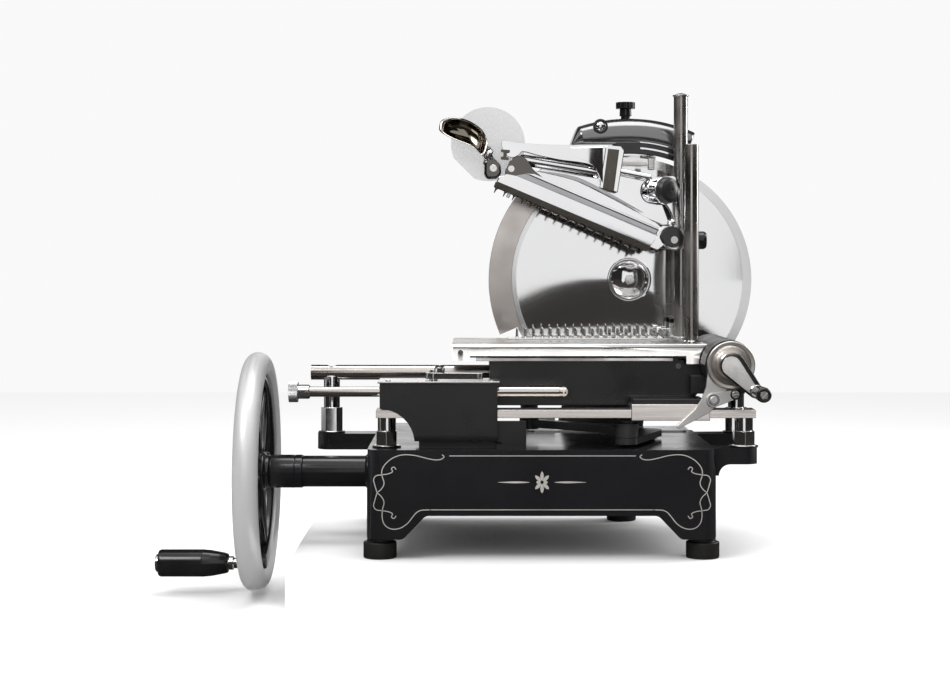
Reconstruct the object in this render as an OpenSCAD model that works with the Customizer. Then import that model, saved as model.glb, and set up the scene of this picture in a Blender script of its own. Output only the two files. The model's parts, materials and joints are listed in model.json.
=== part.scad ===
// Hand-cranked flywheel slicer for cured meat.
// Origin: standing plane, midway between the two front feet.
// +X to the right along the carriage travel, +Y towards the blade, +Z up.

/* [Base] */
// Width of the base casting along the carriage travel
base_w = 340; // [336:1:344]
// Height of the deck above the standing plane
deck_z = 107; // [107:1:107]
// Distance of the rear face from the front feet
base_rear = 280; // [280:1:286]
// Wall thickness of the base casting
wall = 8; // [6:1:8]
// Height of a rubber foot
foot_h = 20; // [18:1:20]
// Radius of a rubber foot
foot_r = 16.3; // [15:0.1:16.3]
// Radius of the bolt hole through each foot
bolt_r = 4.25; // [4:0.05:4.5]
// Distance between the two front feet
foot_span = 316; // [316:1:316]

/* [Flywheel] */
// Radius of the flywheel over its polished rim
wheel_r = 123; // [115:1:125]
// Width of the flywheel rim
rim_w = 25; // [22:1:26]
// Number of cast spokes
spokes = 6; // [5:1:8]
// Distance of the hand grip from the wheel's axis
grip_throw = 95; // [94:1:95]
// Length of the hand grip
grip_len = 72; // [60:1:75]

/* [Blade] */
// Radius of the circular blade
blade_r = 132.5; // [130:0.5:133]
// Thickness of the blade at its hub
blade_t = 5; // [4:0.5:5]
// Height of the blade's axis above the standing plane
blade_z = 270; // [270:1:270]

/* [Carriage and table] */
// Radius of the round rear rail
rail_r = 8; // [7.5:0.1:8]
// Height of the top of the meat table
table_z = 207; // [207:1:207]
// Number of spikes in one row on the table
spike_cols = 18; // [8:1:19]
// Length of one spike
spike_h = 11; // [6:1:11]
// Radius of the two columns on the table
column_r = 7.5; // [7:0.1:7.5]

/* [Meat press] */
// Number of teeth on the press jaw
jaw_count = 17; // [8:1:17]
// Radius of the clear hand shield
shield_r = 39; // [30:1:39]

/* [Drive] */
// Crank throw that moves the carriage
crank_r = 89.2; // [89.2:0.1:89.2]
// Teeth on each pinion of the drive shaft
pinion_teeth = 14; // [14:1:14]
// Teeth on the crank's crown gear
crown_teeth = 28; // [28:1:28]

/* [Hidden] */
$fn = 64;
fit = 0.05;
eps = 0.01;
base_front = -19;
skin = 2.5;
corner_r = 13;
arch_z = 43;
wheel_y = 100;
wheel_z = 73;
wheel_x0 = -302;
wheel_x1 = wheel_x0 + rim_w;
shaft_r = 9;
bush_r = 12;
crank_x = 112;
pin_x = 85;
pin_y = 15;
rod_x = -9;
lay_x = 58;
blade_x = 103;
blade_y = 205;
blade_shaft_r = 7.5;
hub_depth = 9.5;
rail_y = 165;
rail_z = 171.3;
flat_y0 = -2;
flat_y1 = 26;
flat_z0 = 136.5;
flat_z1 = 144.5;
post_y = 12;
feed_x = 184.3;
feed_z = 188.8;
drum_r = 24;
col_x = 155;
col_y0 = 70;
col_y1 = 165;
col_top0 = 409;
col_top1 = 466;
press_x = 141.7;
press_z = 312.4;
press_y0 = 102;
press_y1 = 134;
handle_pin = [-47, 386];
knob_root = [119, 124, 363.5];
knob_turn = 40;
stop_y = 18;
stop_z = 160.9;
pitch_r = 14;
crown_r = pitch_r * crown_teeth / pinion_teeth;
lay_teeth = 19;
lay_r = pitch_r * lay_teeth / pinion_teeth;
mesh_gap = 2.1;
chain_y = 258;
stone_x = 125;
jaw_tilt = 23;
jaw_low = -17.5;
rim_inner_r = wheel_r - 23;

// ---- helpers ----------------------------------------------------------

// Cylinder along +X from x0 to x1
module xcyl(y, z, x0, x1, r) {
    translate([x0, y, z]) rotate([0, 90, 0]) cylinder(h = x1 - x0, r = r);
}

// Cylinder along +Y from y0 to y1
module ycyl(x, z, y0, y1, r) {
    translate([x, y1, z]) rotate([90, 0, 0]) cylinder(h = y1 - y0, r = r);
}

// Cylinder along +Z from z0 to z1
module zcyl(x, y, z0, z1, r) {
    translate([x, y, z0]) cylinder(h = z1 - z0, r = r);
}

// Outline in the X-Z plane, extruded from y0 to y1
module yprism(y0, y1) {
    translate([0, y1, 0]) rotate([90, 0, 0]) linear_extrude(y1 - y0) children();
}

// Outline in the X-Y plane, extruded from z0 to z1
module zprism(z0, z1) {
    translate([0, 0, z0]) linear_extrude(z1 - z0) children();
}

// Box by its two corners
module box(a, b) {
    translate(a) cube(b - a);
}

// Rectangle with round corners, by its two corners
module round_rect(a, b, r) {
    translate([a.x + r, a.y]) square([b.x - a.x - 2 * r, b.y - a.y]);
    translate([a.x, a.y + r]) square([b.x - a.x, b.y - a.y - 2 * r]);
    for (x = [a.x + r, b.x - r], y = [a.y + r, b.y - r])
        translate([x, y]) circle(r);
}

// Straight bar between two points of a plane with round ends
module bar2d(a, b, r) {
    d = b - a;
    len = norm(d);
    translate(a) rotate(atan2(d.y, d.x)) {
        translate([0, -r]) square([len, 2 * r]);
        circle(r);
        translate([len, 0]) circle(r);
    }
}

// Bar between two round ends of different radii, its sides a hair inside the tangents
module tapered2d(a, b, ra, rb) {
    d = b - a;
    len = norm(d);
    lean = acos((ra - rb) / len);
    side = 0.985 * [cos(lean), sin(lean)];
    translate(a) rotate(atan2(d.y, d.x)) {
        circle(ra);
        translate([len, 0]) circle(rb);
        polygon([ra * side, [len, 0] + rb * side, [len, 0] + rb * [side.x, -side.y],
            ra * [side.x, -side.y]]);
    }
}

// Arc-shaped band of a plane between two radii and two angles
module band2d(r0, r1, a0, a1) {
    steps = 24;
    difference() {
        circle(r1, $fn = 128);
        circle(r0, $fn = 128);
        polygon(concat([[0, 0]], [for (i = [0:steps])
            2 * r1 * [cos(a1 + (360 + a0 - a1) * i / steps),
                sin(a1 + (360 + a0 - a1) * i / steps)]]));
    }
}

// Crown gear about the local +Z axis with teeth standing up from z = 0
module crown(n, r_mid, face, depth, body) {
    translate([0, 0, -body]) cylinder(h = body, r = r_mid + face / 2);
    gap = 360 / n;
    for (i = [0:n - 1])
        rotate(i * gap) translate([r_mid - face / 2 + 0.5, 0, -eps])
            rotate([90, 0, 90]) linear_extrude(face - 1)
                polygon([[-1.25, 0], [1.25, 0], [0.6, depth], [-0.6, depth]]);
}

// Outline of a spur pinion: each tooth is four corners, narrower at its tip
function pinion_outline(n, r_root, r_tip) = [for (i = [0:n - 1], c = [0:3])
    let (tip = c == 1 || c == 2, half = tip ? 2.5 : 6, side = c < 2 ? -1 : 1)
        (tip ? r_tip : r_root) * [cos((i + 0.5) * 360 / n + side * half),
            sin((i + 0.5) * 360 / n + side * half)]];

// Loop round two pulleys a distance apart along the local x axis
function belt_outline(len, ra, rb) = let (lean = acos((ra - rb) / len), steps = 16) concat(
    [for (i = [0:steps]) let (a = lean + (360 - 2 * lean) * i / steps) ra * [cos(a), sin(a)]],
    [for (i = [0:steps]) let (a = -lean + 2 * lean * i / steps)
        [len, 0] + rb * [cos(a), sin(a)]]);

// ---- base --------------------------------------------------------------

foot_places = [[-foot_span / 2, 0], [foot_span / 2, 0], [99, 261], [-150, 261]];

// Plan of the base casting, drawn in by an inset
module base_plan(inset) {
    w = base_w / 2 - inset;
    y0 = base_front + inset;
    y1 = base_rear - inset;
    r = corner_r - inset / 2;
    intersection() {
        round_rect([-w, y0], [w, y1], r);
        polygon([[-w - 1, y0 - 1], [w + 1, y0 - 1], [w + 1, 190], [122 - inset, 240],
            [122 - inset, y1 + 1], [-w - 1, y1 + 1]]);
    }
}

// Side view of the arch between the legs, cut from front to back
module front_arch() {
    // slopes that run out smoothly into the arch above and the feet below
    offset(r = -8) offset(delta = 8) offset(r = 8) offset(delta = -8)
        polygon([[-150, 0], [-150, foot_h], [-135, foot_h], [-113, arch_z], [113, arch_z],
            [135, foot_h], [150, foot_h], [150, 0]]);
}

module base_casting() {
    color("black") difference() {
        union() {
            difference() {
                zprism(foot_h, deck_z) base_plan(0);
                zprism(0, deck_z - wall) base_plan(wall);
            }
            for (p = foot_places) zcyl(p.x, p.y, foot_h, deck_z - wall, 13);
            // arm that carries the flywheel shaft
            xcyl(wheel_y, wheel_z, -242, -162, 16);
            translate([-178, wheel_y, wheel_z]) rotate([0, 90, 0])
                cylinder(h = 9, r1 = 16, r2 = 25);
            // brackets under the ends of the two rails
            zprism(90, deck_z) bar2d([-218, 166], [-165, 166], 15);
            zprism(91, deck_z) bar2d([200, post_y], [165, post_y], 13);
            zprism(91, deck_z) bar2d([214, 165], [165, 160], 13);
            yprism(-1, 25) difference() {
                translate([169, 80]) square([16, 14]);
                translate([185, 80]) circle(11);
            }
            // boss of the crank's bearing
            zcyl(crank_x, wheel_y, 94.4, deck_z, 17);
        }
        yprism(base_front - 1, base_rear + 1) front_arch();
        box([-base_w / 2 - 1, 30, 0], [base_w / 2 + 1, 225, arch_z]);
        xcyl(wheel_y, wheel_z, -250, -150, bush_r);
        zcyl(crank_x, wheel_y, 80, deck_z + 1, bush_r);
        box([36, 247, deck_z - wall - 1], [88, 269, deck_z + 1]);
        for (p = foot_places) zcyl(p.x, p.y, foot_h - 1, foot_h + 30, bolt_r);
    }
}

module base_cover() {
    color("dimgray") difference() {
        zprism(arch_z + 1, arch_z + 3) base_plan(wall + 0.2);
        for (p = foot_places) zprism(0, 60) translate([p.x, p.y]) square(34, center = true);
    }
}

module rubber_feet() {
    color("black") for (p = foot_places) difference() {
        union() {
            zcyl(p.x, p.y, 0, foot_h - 4, foot_r);
            zcyl(p.x, p.y, foot_h - 4, foot_h, foot_r - 3.5);
        }
        zcyl(p.x, p.y, -1, foot_h + 1, bolt_r);
    }
}

// ---- blade head ---------------------------------------------------------

// Outline of the head in the X-Z plane, drawn in by an inset
module head_outline(inset) {
    translate([blade_x, blade_z]) circle(36 - inset);
    polygon([[28 + inset, deck_z], [120 - inset, deck_z], [138.4 - inset, 262],
        [68 + inset, 278]]);
}

module head_casting() {
    color("black") difference() {
        union() {
            yprism(226, 272) head_outline(0);
            ycyl(blade_x, blade_z, 217, 227, 27);
            // arm behind the blade that holds the guard
            yprism(226, 234) rotate(0) translate([blade_x, blade_z])
                rotate(172) translate([0, -11]) square([150.5, 22]);
            // neck that holds the sharpener above the blade
            box([blade_x - 16, 226, blade_z + 20], [blade_x + 16, 240, 425]);
        }
        difference() {
            yprism(234, 273) intersection() {
                head_outline(7);
                translate([0, deck_z - 1]) square([200, blade_z + 17 - deck_z + 1]);
            }
            ycyl(blade_x, blade_z, 230, 243, 22);
        }
        ycyl(blade_x, blade_z, 210, 244, 17.5);
    }
}

module head_cover() {
    color("black") difference() {
        yprism(272, 275) head_outline(0);
        ycyl(blade_x, blade_z, 271, 276, 5);
    }
}

module blade_bearings() {
    color("silver") for (y = [217.5, 231.9]) difference() {
        ycyl(blade_x, blade_z, y, y + 11, 17.5);
        ycyl(blade_x, blade_z, y - 1, y + 12, blade_shaft_r + fit);
        difference() {
            ycyl(blade_x, blade_z, y - 1, y + 0.6, 15);
            ycyl(blade_x, blade_z, y - 2, y + 1.6, 10.5);
        }
    }
}

module drive_chain() {
    run = [blade_x - lay_x, blade_z - wheel_z];
    color("dimgray") yprism(chain_y - 4, chain_y + 4) translate([lay_x, wheel_z])
        rotate(atan2(run.y, run.x)) difference() {
            polygon(belt_outline(norm(run), 17, 13));
            polygon(belt_outline(norm(run), 14.6, 10.6));
        }
}

module blade() {
    // half section: radius and depth behind the cutting edge, with a recess for the cap
    bore = blade_shaft_r + 0.02;
    front = [[blade_r, 0], [128, 0.8], [123.5, 2.4], [24, 2.4], [22.5, hub_depth],
        [bore, hub_depth]];
    back = [[bore, hub_depth + blade_t], [27, hub_depth + blade_t], [36, 7.6], [100, 6.4],
        [121, 4.4], [blade_r, 0.2]];
    color("silver") translate([blade_x, blade_y - 6, blade_z]) rotate([-90, 0, 0])
        rotate_extrude($fn = 160) polygon(concat(front, back));
}

module blade_cap() {
    color("silver") translate([blade_x, blade_y - 6 + hub_depth, blade_z]) rotate([90, 0, 0])
        rotate_extrude() intersection() {
            square([22, 9]);
            translate([0, -22]) circle(31, $fn = 96);
        }
}

module blade_shaft() {
    color("gray") {
        ycyl(blade_x, blade_z, 208.6, 268, blade_shaft_r);
        ycyl(blade_x, blade_z, 213.55, 217.45, 10);
        difference() {
            ycyl(blade_x, blade_z, chain_y - 2, chain_y + 2, 10.3);
            for (i = [0:9]) translate([blade_x, 0, blade_z]) rotate([0, i * 36, 0])
                ycyl(10.6, 0, chain_y - 3, chain_y + 3, 1.8);
        }
    }
}

module blade_guard() {
    a0 = 114;
    a1 = 203;
    color("silver") translate([blade_x, 0, blade_z]) {
        yprism(195.3, 197.3) band2d(128, 153, a0, a1);
        yprism(195.3, 222) band2d(151, 153, a0, a1);
        // lug that bolts to the arm of the head
        yprism(222, 226) band2d(138, 153, 164, 180);
    }
}

// ---- sharpener ----------------------------------------------------------

module sharpener_cover() {
    color("black") difference() {
        union() translate([blade_x, 0, blade_z]) {
            yprism(192, 194.5) band2d(136.5, 153, 64, 109);
            difference() {
                yprism(192, 250) band2d(151.5, 179, 67, 113);
                yprism(195, 251) band2d(150, 176, 68.5, 111.5);
            }
        }
        ycyl(71, 436.2, 190, 196, 8);
        zcyl(100, 216, 430, 460, 5.05);
    }
}

module sharpener_bracket() {
    color("silver") difference() {
        union() {
            box([blade_x - 14, 222, 398], [blade_x + 14, 226, 440]);
            box([84, 200, 405], [142, 222, 411]);
            box([96, 200, 411], [112, 226, 420]);
            zcyl(100, 216, 419, 436, 9);
            zcyl(stone_x, 216, 388, 406, 2.5);
            zcyl(stone_x, 216, 387, 389.5, 5);
            ycyl(71, 436.2, 198, 214, 6.6);
            box([66, 206, 424], [92, 214, 431]);
            box([88, 206, 424], [100, 226, 431]);
        }
        zcyl(100, 216, 400, 450, 5.05);
        ycyl(71, 436.2, 190, 209, 5.6);
    }
}

module sharpener_knob() {
    color("black") {
        zcyl(100, 216, 449.1, 457, 6.5);
        zcyl(100, 216, 457, 464, 10.5);
        zcyl(100, 216, 412, 449.2, 5);
    }
}

module sharpener_button() {
    color("silver") ycyl(71, 436.2, 190.5, 203, 5.5);
}

// Grinding wheel that spins on a pin below the bracket
module grinding_stone() {
    color("lightgray") difference() {
        zcyl(stone_x, 216, 390, 404.5, 8);
        zcyl(stone_x, 216, 389, 405, 2.5 + fit);
    }
}

// ---- drive --------------------------------------------------------------

module shaft_bushes() {
    color("goldenrod") {
        for (x = [-242, -190]) difference() {
            xcyl(wheel_y, wheel_z, x, x + 25, bush_r);
            xcyl(wheel_y, wheel_z, x - 1, x + 26, shaft_r + fit);
        }
        difference() {
            zcyl(crank_x, wheel_y, 94.4, deck_z, bush_r);
            zcyl(crank_x, wheel_y, 80, deck_z + 1, 9 + fit);
        }
    }
}

module bearing_blocks() {
    color("dimgray") {
        difference() {
            box([55, 84, 60], [67, 109, deck_z - wall]);
            xcyl(wheel_y, wheel_z, 50, 70, shaft_r + fit);
        }
        difference() {
            box([44, 138, 60], [72, 150, deck_z - wall]);
            ycyl(lay_x, wheel_z, 130, 160, 6 + fit);
        }
        difference() {
            box([44, 236, 60], [72, 246, deck_z - wall]);
            ycyl(lay_x, wheel_z, 230, 250, 6 + fit);
        }
    }
}

module drive_shaft() {
    color("silver") xcyl(wheel_y, wheel_z, -300, 90, shaft_r);
}

// Two spur pinions keyed to the drive shaft, one for each crown gear
module drive_pinions() {
    color("dimgray") for (x = [[81.6, 88], [35, 43]]) difference() {
        translate([x[0], wheel_y, wheel_z]) rotate([0, 90, 0]) linear_extrude(x[1] - x[0])
            polygon(pinion_outline(pinion_teeth, 12.2, pitch_r + 0.9));
        xcyl(wheel_y, wheel_z, x[0] - 1, x[1] + 1, shaft_r);
    }
}

module crank_gear() {
    color("dimgray") difference() {
        translate([crank_x, wheel_y, wheel_z + pitch_r + mesh_gap]) rotate([180, 0, 0])
            crown(crown_teeth, crown_r, 8, 2.2, 5);
        zcyl(crank_x, wheel_y, 60, 100, 9);
    }
}

module crank_shaft() {
    color("dimgray") {
        zcyl(crank_x, wheel_y, 76, 111, 9);
        zprism(109.5, 116) tapered2d([crank_x, wheel_y], [pin_x, pin_y], 16, 11);
        zcyl(crank_x, wheel_y, 115.9, 116.2, 12);
    }
}

module lay_shaft() {
    color("silver") {
        ycyl(lay_x, wheel_z, 111, 266, 6);
        translate([lay_x, wheel_y + pitch_r + mesh_gap, wheel_z]) rotate([90, 0, 0])
            crown(lay_teeth, lay_r, 8, 2.2, 5);
        difference() {
            ycyl(lay_x, wheel_z, chain_y - 2, chain_y + 2, 14.3);
            for (i = [0:13]) translate([lay_x, 0, wheel_z])
                rotate([0, i * 360 / 14, 0]) ycyl(14.6, 0, chain_y - 3, chain_y + 3, 1.8);
        }
    }
}

module connecting_rod() {
    color("black") {
        difference() {
            union() {
                zprism(119, 127) bar2d([pin_x, pin_y], [rod_x, wheel_y], 5);
                zcyl(pin_x, pin_y, 116.5, 130, 11.5);
                zcyl(rod_x, wheel_y, 117, 129, 10);
            }
            zcyl(rod_x, wheel_y, 110, 140, 5 + fit);
        }
        zcyl(pin_x, pin_y, 130, 133, 6);
    }
}

// ---- flywheel -----------------------------------------------------------

module wheel_rim() {
    mid = (wheel_x0 + wheel_x1) / 2;
    color("silver") translate([mid, wheel_y, wheel_z]) rotate([0, 90, 0])
        rotate_extrude($fn = 128) intersection() {
            translate([rim_inner_r, -rim_w / 2]) square([wheel_r - rim_inner_r, rim_w]);
            translate([wheel_r - 17, 0]) circle(17, $fn = 64);
        }
}

module wheel_spokes() {
    loop_r = 22;
    mid = (wheel_x0 + wheel_x1) / 2;
    hub_r = 20;
    color("black") difference() {
        translate([mid, wheel_y, wheel_z]) rotate([0, 90, 0]) {
            translate([0, 0, -6]) cylinder(h = 18.5, r = hub_r);
            translate([0, 0, -5]) linear_extrude(10) difference() {
                circle(rim_inner_r, $fn = 128);
                circle(rim_inner_r - 8, $fn = 128);
            }
            translate([0, 0, -4]) linear_extrude(8) for (i = [0:spokes - 1])
                rotate(i * 360 / spokes) {
                    translate([hub_r - 1, -4.5]) square([57 - loop_r - hub_r + 3, 9]);
                    translate([53 + loop_r, -4.5]) square([rim_inner_r - 57 - loop_r, 9]);
                    translate([56, 0]) difference() {
                        circle(loop_r);
                        circle(loop_r - 5);
                    }
                }
            // boss for the spindle of the hand grip
            intersection() {
                translate([grip_throw, 0, -8]) cylinder(h = 16, r = 8);
                translate([0, 0, -9]) cylinder(h = 18, r = rim_inner_r, $fn = 128);
            }
        }
        xcyl(wheel_y, wheel_z, wheel_x0, -270, shaft_r);
        xcyl(wheel_y, wheel_z - grip_throw, wheel_x0 - 1, wheel_x1 + 1, 4.5);
    }
}

module wheel_collar() {
    color("black") difference() {
        xcyl(wheel_y, wheel_z, wheel_x1, -242.2, 17);
        xcyl(wheel_y, wheel_z, wheel_x1 - 1, -242, shaft_r);
        for (x = [-268, -252]) translate([x, wheel_y, wheel_z + 12]) cylinder(h = 6, r = 2.5);
    }
}

module handle_spindle() {
    z = wheel_z - grip_throw;
    color("gray") {
        xcyl(wheel_y, z, -392, wheel_x0 + rim_w / 2 + 8, 4.5);
        xcyl(wheel_y, z, -395, -392, 9);
    }
}

module handle_grip() {
    z = wheel_z - grip_throw;
    color("black") difference() {
        translate([-391.8, wheel_y, z]) rotate([0, 90, 0]) rotate_extrude() polygon([
            [4.5 + fit, 0], [12.5, 0], [14, 1.5], [14, grip_len - 22], [12.5, grip_len - 12],
            [10, grip_len - 3], [9.5, grip_len], [4.5 + fit, grip_len]]);
    }
}

// ---- rails --------------------------------------------------------------

module front_rail() {
    color("silver") difference() {
        box([-162, flat_y0, flat_z0], [210, flat_y1, flat_z1]);
        for (x = [-152, 200]) translate([x, post_y, flat_z1 - 3]) cylinder(h = 4, r = 5.5);
    }
}

module rear_rail() {
    color("silver") difference() {
        xcyl(rail_y, rail_z, -240, 224, rail_r);
        zcyl(-218, rail_y, rail_z + 4, rail_z + 10, 5.5);
    }
}

module front_posts() {
    color("silver") for (x = [-152, 200]) {
        zcyl(x, post_y, deck_z, deck_z + 2, 12.5);
        translate([x, post_y, deck_z + 2]) rotate(30) cylinder(h = 14, r = 11.5, $fn = 6);
        zcyl(x, post_y, deck_z + 1, flat_z0, 9);
    }
}

module rear_posts() {
    color("silver") for (x = [-218, 214]) difference() {
        union() {
            zcyl(x, rail_y, deck_z, deck_z + 2, 12.5);
            translate([x, rail_y, deck_z + 2]) cylinder(h = 25, r = 11.5, $fn = 6);
            zcyl(x, rail_y, deck_z + 27, rail_z - 4, 8.5);
        }
        xcyl(rail_y, rail_z, x - 20, x + 20, rail_r);
    }
}

module receiving_tray() {
    color("silver") {
        zprism(deck_z, deck_z + 1.5) difference() {
            round_rect([-9, 172], [165, 246], 8);
            translate([26, 225]) square([200, 60]);
        }
        zprism(deck_z + 1.5, deck_z + 14) difference() {
            round_rect([-9, 217], [26, 246], 6);
            round_rect([-7.5, 200], [30, 244.5], 5);
        }
    }
}

// ---- slice thickness setting --------------------------------------------

module thickness_housing() {
    color("black") difference() {
        union() {
            box([-158, -10, 112], [-43, 40, 171]);
            box([-120, 0, deck_z], [-15, 34, 134]);
            box([-44, -6.5, deck_z], [-15, 1, 134]);
        }
        // room behind the skirt for the end of the connecting rod
        box([-52, -2.4, 115.5], [-10, 41, 134.6]);
        difference() {
            box([-158 + skin, -10 + skin, 111], [-43 - skin, 40 - skin, 171 - skin]);
            box([-120, 0, 100], [-43, 34, 134]);
        }
        ycyl(-158, 112, -11, 41, 34);
        box([-200, -4, flat_z0 - 2.5], [0, 28, flat_z1 + 2.5]);
        xcyl(stop_y, stop_z, -200, 0, 5 + fit);
        zcyl(-106, 14, 166, 174, 4.2);
        box([-42.9, -11, 134], [0, 41, 180]);
        translate([-158, -10, 112]) rotate([0, 90, 0]) difference() {
            translate([-8, -1, -1]) cube([9, 9, 120]);
            translate([-8, 8, -2]) cylinder(h = 122, r = 8);
        }
    }
}

module scale_plate() {
    color("silver") difference() {
        box([-160, -12, 171], [-41, 41, 173]);
        zcyl(-106, 14, 170, 174, 4.2);
    }
}

module lock_lever() {
    color("silver") {
        zcyl(-106, 14, 166.5, 183, 4);
        zprism(174, 180) tapered2d([-106, 14], [-62, 6], 8, 5);
        zcyl(-100, 13, 180, 188, 5);
    }
}

module stop_rod() {
    color("silver") {
        xcyl(stop_y, stop_z, -228, 15, 5);
        xcyl(stop_y, stop_z, -240, -228, 7);
        xcyl(stop_y, stop_z, -249, -240, 10.5);
        translate([15, stop_y, stop_z]) rotate([0, 90, 0]) rotate_extrude() difference() {
            union() {
                square([5, 7]);
                translate([0, 7]) circle(5);
            }
            translate([-10, -1]) square([10, 20]);
        }
    }
}

// ---- carriage -----------------------------------------------------------

module carriage_body() {
    color("black") difference() {
        union() {
            // front plate with its lower right corner rounded away
            yprism(48, 58) difference() {
                translate([-50, 145]) square([213, 48]);
                difference() {
                    translate([137, 140]) square([40, 26]);
                    translate([137, 171]) circle(26);
                }
            }
            box([-50, 48, 183], [158, 186, 193]);
            box([-50, 150, 157], [118, 186, 193]);
            box([-50, 48, 150], [-40, 186, 193]);
            // bracket under the feed drum
            box([150, 30, 158], [204, 148, 176]);
            box([150, 58, 166], [158, 148, 193]);
            zcyl(rod_x, wheel_y, 133, 184, 9);
            zcyl(rod_x, wheel_y, 118, 134, 5);
            // foot that bolts to the guide shoe
            box([90, 4, 150], [160, 48, 154.5]);
        }
        ycyl(feed_x, feed_z, 20, 160, drum_r + 0.02);
        xcyl(rail_y, rail_z, -60, 130, 11);
        // slot for the arm of the feed nut
        box([140, 32, 190.5], [190, 132, 200]);
        // notch that the drop of the table's apron moves into
        box([145, 40, 186.5], [170, 56, 194]);
    }
}

module carriage_bushes() {
    color("goldenrod") for (x = [-50, 93]) difference() {
        xcyl(rail_y, rail_z, x, x + 25, 11);
        xcyl(rail_y, rail_z, x - 1, x + 26, rail_r + fit);
    }
}

module guide_shoe() {
    color("silver") difference() {
        box([88, -3.3, 134], [165, 29, 150]);
        box([80, flat_y0 - fit, flat_z0 - fit], [170, flat_y1 + fit, flat_z1 + fit]);
        box([80, 2, 130], [170, 22, 140]);
    }
}

module feed_drum() {
    color("black") difference() {
        ycyl(feed_x, feed_z, -2, 150, drum_r);
        ycyl(feed_x, feed_z, 2, 146, 19);
        ycyl(feed_x, feed_z, -3, 152, 6 + fit);
        box([150, 34, 191], [feed_x, 128, 203]);
    }
}

module feed_screw() {
    color("silver") {
        ycyl(feed_x, feed_z, -22, 151, 6);
    }
}

module feed_disc() {
    color("silver") difference() {
        translate([feed_x, -14, feed_z]) rotate([-90, 0, 0]) rotate_extrude()
            polygon([[0, 0.5], [13, 0.5], [14.5, 3], [17, 3.6], [19.5, 2.4], [22, 0.4], [23.4, 0],
                [23.4, 3.5], [14, 5.5], [0, 5.5]]);
        ycyl(feed_x, feed_z, -30, 10, 6);
    }
}

module feed_crank() {
    tip = [206, 164.5];
    color("silver") difference() {
        union() {
            yprism(-31, -22) tapered2d([feed_x, feed_z], tip, 12.5, 7);
            ycyl(feed_x, feed_z, -22, -14.5, 9);
        }
        ycyl(feed_x, feed_z, -23, 0, 6);
        ycyl(tip.x, tip.y, -32, -20, 3);
    }
}

module feed_knob() {
    color("black") {
        translate([206, -31.2, 164.5]) rotate([90, 0, 0]) rotate_extrude() polygon([
            [0, 0], [5.5, 0], [6, 4], [6.8, 12], [7.3, 46], [6.3, 48.5], [0, 49]]);
        ycyl(206, 164.5, -31.3, -22.5, 2.95);
    }
}

module pawl_lever() {
    color("silver") difference() {
        union() {
            yprism(-8.2, -3.5) {
                translate([feed_x, feed_z]) circle(20);
                polygon([[165, 194], [161.5, 178], [160.5, 168], [157, 157], [150, 146],
                    [131, 128.5], [133.5, 126.5], [152, 136], [163, 142], [173, 150],
                    [178, 160], [184, 170]]);
            }
            ycyl(168, 161, -3.6, 23, 6);
        }
        ycyl(feed_x, feed_z, -10, 5, 6 + fit);
    }
}

module pawl_link() {
    a = [167.5, 154.9];
    b = [188.5, 160.4];
    color("silver") {
        yprism(-13, -8.4) tapered2d(a, b, 7, 4.6);
        ycyl(a.x, a.y, -14.5, -12, 3.6);
        ycyl(b.x, b.y, -14.5, -12, 3.6);
    }
}

// ---- meat table ---------------------------------------------------------

module meat_table() {
    color("silver") difference() {
        union() {
            box([-88, 42, 204], [170, 190, table_z]);
            box([-88, 42, 195], [170, 45, table_z]);
            box([-88, 42, 190], [-71, 45, table_z]);
            box([147, 42, 187], [163, 45, table_z]);
            // runners on the top of the carriage
            for (x = [-35, 120]) box([x, 50, 193.02], [x + 20, 184, 204]);
            box([150, 66, 194.5], [166, 110, 204]);
        }
        ycyl(feed_x, feed_z, 30, 200, drum_r + 0.6);
        // tapped holes for the columns
        for (y = [col_y0, col_y1]) zcyl(col_x, y, 196, table_z + 1, 4);
    }
}

module spike_plate() {
    pitch = 9;
    x0 = -20;
    color("silver") difference() {
        union() {
            box([-30, 148, table_z], [143, 186, table_z + 1.5]);
            for (i = [0:spike_cols - 1], y = [156, 168, 180])
                translate([x0 + i * pitch, y, table_z + 1.4])
                    cylinder(h = spike_h, r1 = 1.3, r2 = 0.3, $fn = 16);
        }
        for (x = [-26, 139]) zcyl(x, 153, table_z - 1, table_z + 3, 1.8);
    }
}

module table_columns() {
    color("silver") {
        for (c = [[col_y0, col_top0], [col_y1, col_top1]]) {
            zcyl(col_x, c[0], table_z, c[1], column_r);
            zcyl(col_x, c[0], 198, table_z + 1, 4);
        }
        zcyl(col_x, col_y1, col_top1, col_top1 + 1.5, column_r + 1.2);
        translate([col_x, col_y1, col_top1 + 1.5]) rotate_extrude() intersection() {
            square([column_r, 3]);
            translate([0, -11]) circle(13);
        }
    }
}

module feed_nut() {
    color("goldenrod") difference() {
        union() {
            ycyl(feed_x, feed_z, 84, 100, 14);
            intersection() {
                box([150, 86, 193], [feed_x - 5, 98, 200.5]);
                ycyl(feed_x, feed_z, 80, 104, drum_r + 0.6);
            }
        }
        ycyl(feed_x, feed_z, 80, 104, 6 + fit);
    }
}

// ---- meat press ---------------------------------------------------------

module press_slider() {
    color("silver") difference() {
        union() {
            zcyl(col_x, col_y1, 303, 373, 12.5);
            box([press_x - 10, 139, 303], [col_x, 160, 324]);
            ycyl(press_x, press_z, 96.5, 150, 4);
            ycyl(press_x, press_z, 95, 98, 9);
        }
        zcyl(col_x, col_y1, 290, 380, column_r + fit);
        xcyl(col_y1, press_z, 160, 180, 3);
    }
}

module press_lock_knob() {
    color("black") {
        xcyl(col_y1, press_z, 163, 174, 2.95);
        translate([172, col_y1, press_z]) rotate([0, 90, 0]) rotate_extrude() polygon([
            [0, 0], [8.5, 0], [9.6, 2], [9.6, 8], [7.5, 10.5], [0, 11]]);
    }
}

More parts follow.
